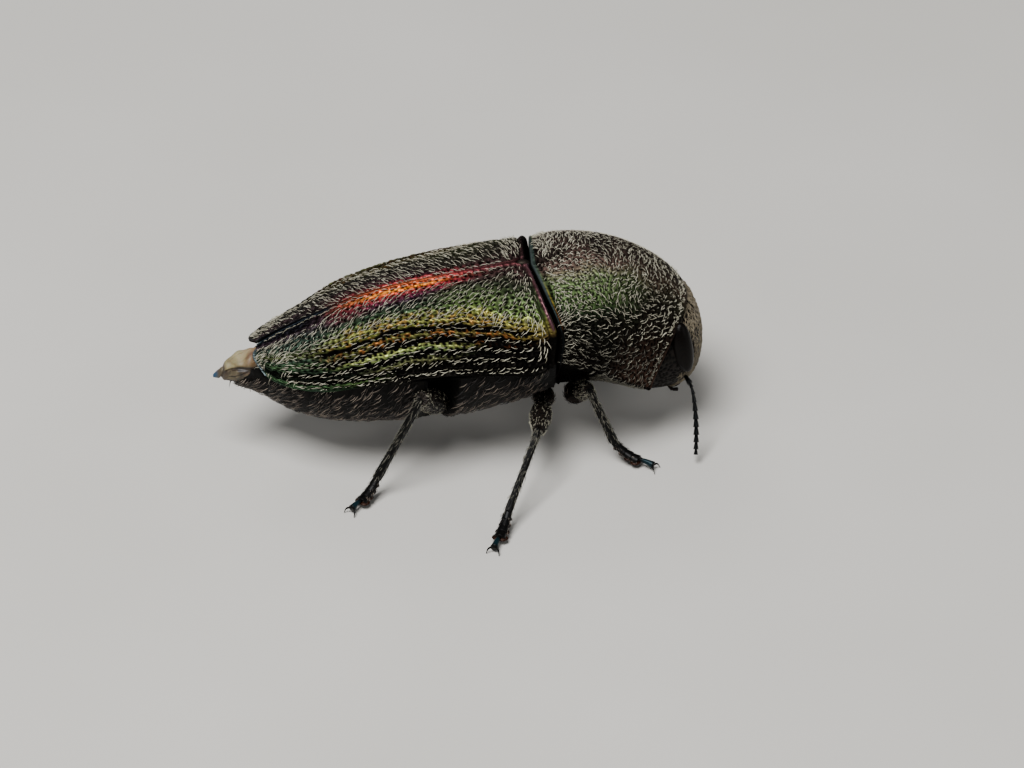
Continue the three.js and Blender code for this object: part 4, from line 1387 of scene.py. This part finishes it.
def foot(bm, ankle, toe):
    """The pads, the claw joint and the claws, along a curve that comes down to the floor.
    Gives the outside of the row of pads, where the bristles stand."""
    ahead = unit((toe - ankle) * (1, 1, 0))
    beside = np.cross(UP, ahead)
    heel = mix(ankle, toe, 0.35) * (1, 1, 0) + (0, 0, 0.14)

    def stop(share):
        place = bezier((ankle, heel, toe), share)
        place[2] = max(place[2], FLOOR_GAP)
        return place

    for pad in range(PADS):
        start, end = stop(PADS_END * (pad - 0.1) / PADS), stop(PADS_END * (pad + 1) / PADS)
        broad = 1 + 0.08 * pad
        rolled(bm, 16, 14, limb(start, end, lambda v: (0.1 + 0.034 * v) * broad, 1.25), dark=0.1)
        for lobe in (-1, 1):
            sole = mix(start, end, 0.75) + beside * 0.5 * LOBES[pad] * lobe - (0, 0, 0.05)
            sole[2] = max(sole[2], LOBE_HEIGHT)
            halves = (LOBES[pad], 0.9 * LOBES[pad], LOBE_HEIGHT)
            rolled(bm, 14, 10, ball(sole, halves), dark=0.2, pad=0.2 * pad)
    joint, wrist = stop(PADS_END - 0.12), toe - ahead * 0.06
    rolled(
        bm, 14, 16, limb(joint, wrist, lambda v: 0.055 + 0.075 * v**2, 1, 0.05),
        blue=lambda u, v: 0.85 * smooth(v, 0.35, 0.6) * (1 - smooth(v, 0.8, 0.95)),
    )
    for lobe in (-1, 1):
        root = wrist + beside * 0.06 * lobe
        bend = root + ahead * 0.06 + beside * 0.14 * lobe + (0, 0, 0.03)
        tip = root + ahead * 0.14 + beside * 0.15 * lobe
        tip[2] = CLAW_TIP
        claw = horn((root, bend, tip), lambda share: mix(0.045, 0.012, share), beside, UP)
        rolled(bm, 10, 14, claw)

    def pads_face(u, v):
        middle = np.array([stop(PADS_END * share) for share in v])
        turn = (u * 2 * np.pi)[:, None]
        return middle + 0.14 * np.cos(turn) * beside + 0.09 * np.sin(turn) * UP

    return pads_face


def pitted(u, v):
    """Punctures in 15 files round a leg and 17 along it."""
    return pits(u * 15, v * 17, 0.8, 17)


def ridges(u):
    """1 on the ridges between the grooves of a shin, and -1 in the grooves."""
    return np.cos(2 * np.pi * SHIN_GROOVES * u)


leg_hairs = []
for name, hip, knee, ankle, toe, thigh, stride in LEGS:
    for side, label in ((-1, "right"), (1, "left")):
        step = stride if side > 0 else 0
        hip_at, knee_at, ankle_at, toe_at = (
            np.array(joint) * (1, side, 1) + (step * share, 0, 0)
            for joint, share in ((hip, 0), (knee, 0.3), (ankle, 0.9), (toe, 1))
        )
        root = mix(hip_at, knee_at, (COXA + SEAM) / np.linalg.norm(knee_at - hip_at))
        coxa_face = ball(hip_at, COXA_HALVES)
        thigh_face = limb(root, knee_at, lambda v: thigh * thigh_girth(v) - 0.04, 0.95)
        shin_face = limb(knee_at, ankle_at, lambda v: SHIN * shin_girth(v), 0.85)

        bm = new_form()
        rolled(bm, 48, 36, raised(coxa_face, lambda u, v: -0.03 * pitted(u, v)), dark=pitted)
        trochanter = mix(hip_at, knee_at, COXA / np.linalg.norm(knee_at - hip_at))
        rolled(bm, 20, 12, ball(trochanter, (0.12, 0.1, 0.12)), dark=0.2)
        finished(f"hip_joint_{name}_{label}", bm, bronze, "cuticle_dark", f"coxa_{name}_{label}")

        bm = new_form()
        rolled(bm, 72, 72, raised(thigh_face, lambda u, v: -0.025 * pitted(u, v)), dark=pitted)
        finished(f"thigh_{name}_{label}", bm, bronze, "cuticle_dark", f"femur_{name}_{label}")

        bm = new_form()
        rolled(
            bm, 48, 60, raised(shin_face, lambda u, v: 0.013 * ridges(u)),
            # the grooves of the shin are painted darker: painted shade
            dark=lambda u, v: 0.4 - 0.4 * ridges(u),
        )
        outward = unit(toe_at - ankle_at)
        for spur in (-1, 1):
            base = ankle_at + np.cross(UP, outward) * 0.08 * spur
            spike = limb(base, base + outward * 0.15 - 0.13 * UP, lambda v: 0.026 * (1 - 0.7 * v))
            rolled(bm, 8, 8, spike, pad=0.2)
        finished(f"shin_{name}_{label}", bm, black, "cuticle_black", f"tibia_{name}_{label}")

        bm = new_form()
        pads_face = foot(bm, ankle_at, toe_at)
        finished(f"foot_{name}_{label}", bm, black, "cuticle_black", f"tarsus_{name}_{label}")

        # Lean above 1 crowds the hairs towards the near end, and splay stands them off the face.
        for hair, face, count, long, lean, splay in (
            (umber, coxa_face, COXA_HAIRS, 0.2, 1, 0),
            (silver, thigh_face, THIGH_HAIRS, 0.16, 0.6, 0),
            (smoky, shin_face, SHIN_HAIRS, 0.2, 1.5, 0.25),
            (umber, pads_face, PAD_HAIRS, 0.15, 1, 0.7),
        ):
            tile = len(leg_hairs)  # one of 24 on the unwrap, in rows of six
            random = np.random.default_rng(60 + tile)
            u, v = random.uniform(0.01, 0.99, count), 0.06 + 0.88 * random.random(count) ** lean
            here, out, around, ahead = surface_at(face, u, v)
            off = out * splay * (1, 1, 0.3)
            lie = leaning(around, ahead, random.normal(0, 0.15, count), off)
            unwrap = np.stack([(tile % 6 + u) / 6, (tile // 6 + v) / 4], axis=-1)
            leg_hairs.append((hair, (here, out, lie, unwrap, np.full(count, long))))

for hair, name in ((silver, "thigh_hairs"), (umber, "hip_and_foot_hairs"), (smoky, "shin_hairs")):
    patches = [patch for kind, patch in leg_hairs if kind == hair]
    parts = (np.concatenate(part) for part in zip(*patches))
    hairs(name, hair, *parts, radius=0.0055, lift=0.05, curl=0.12, seed=90)
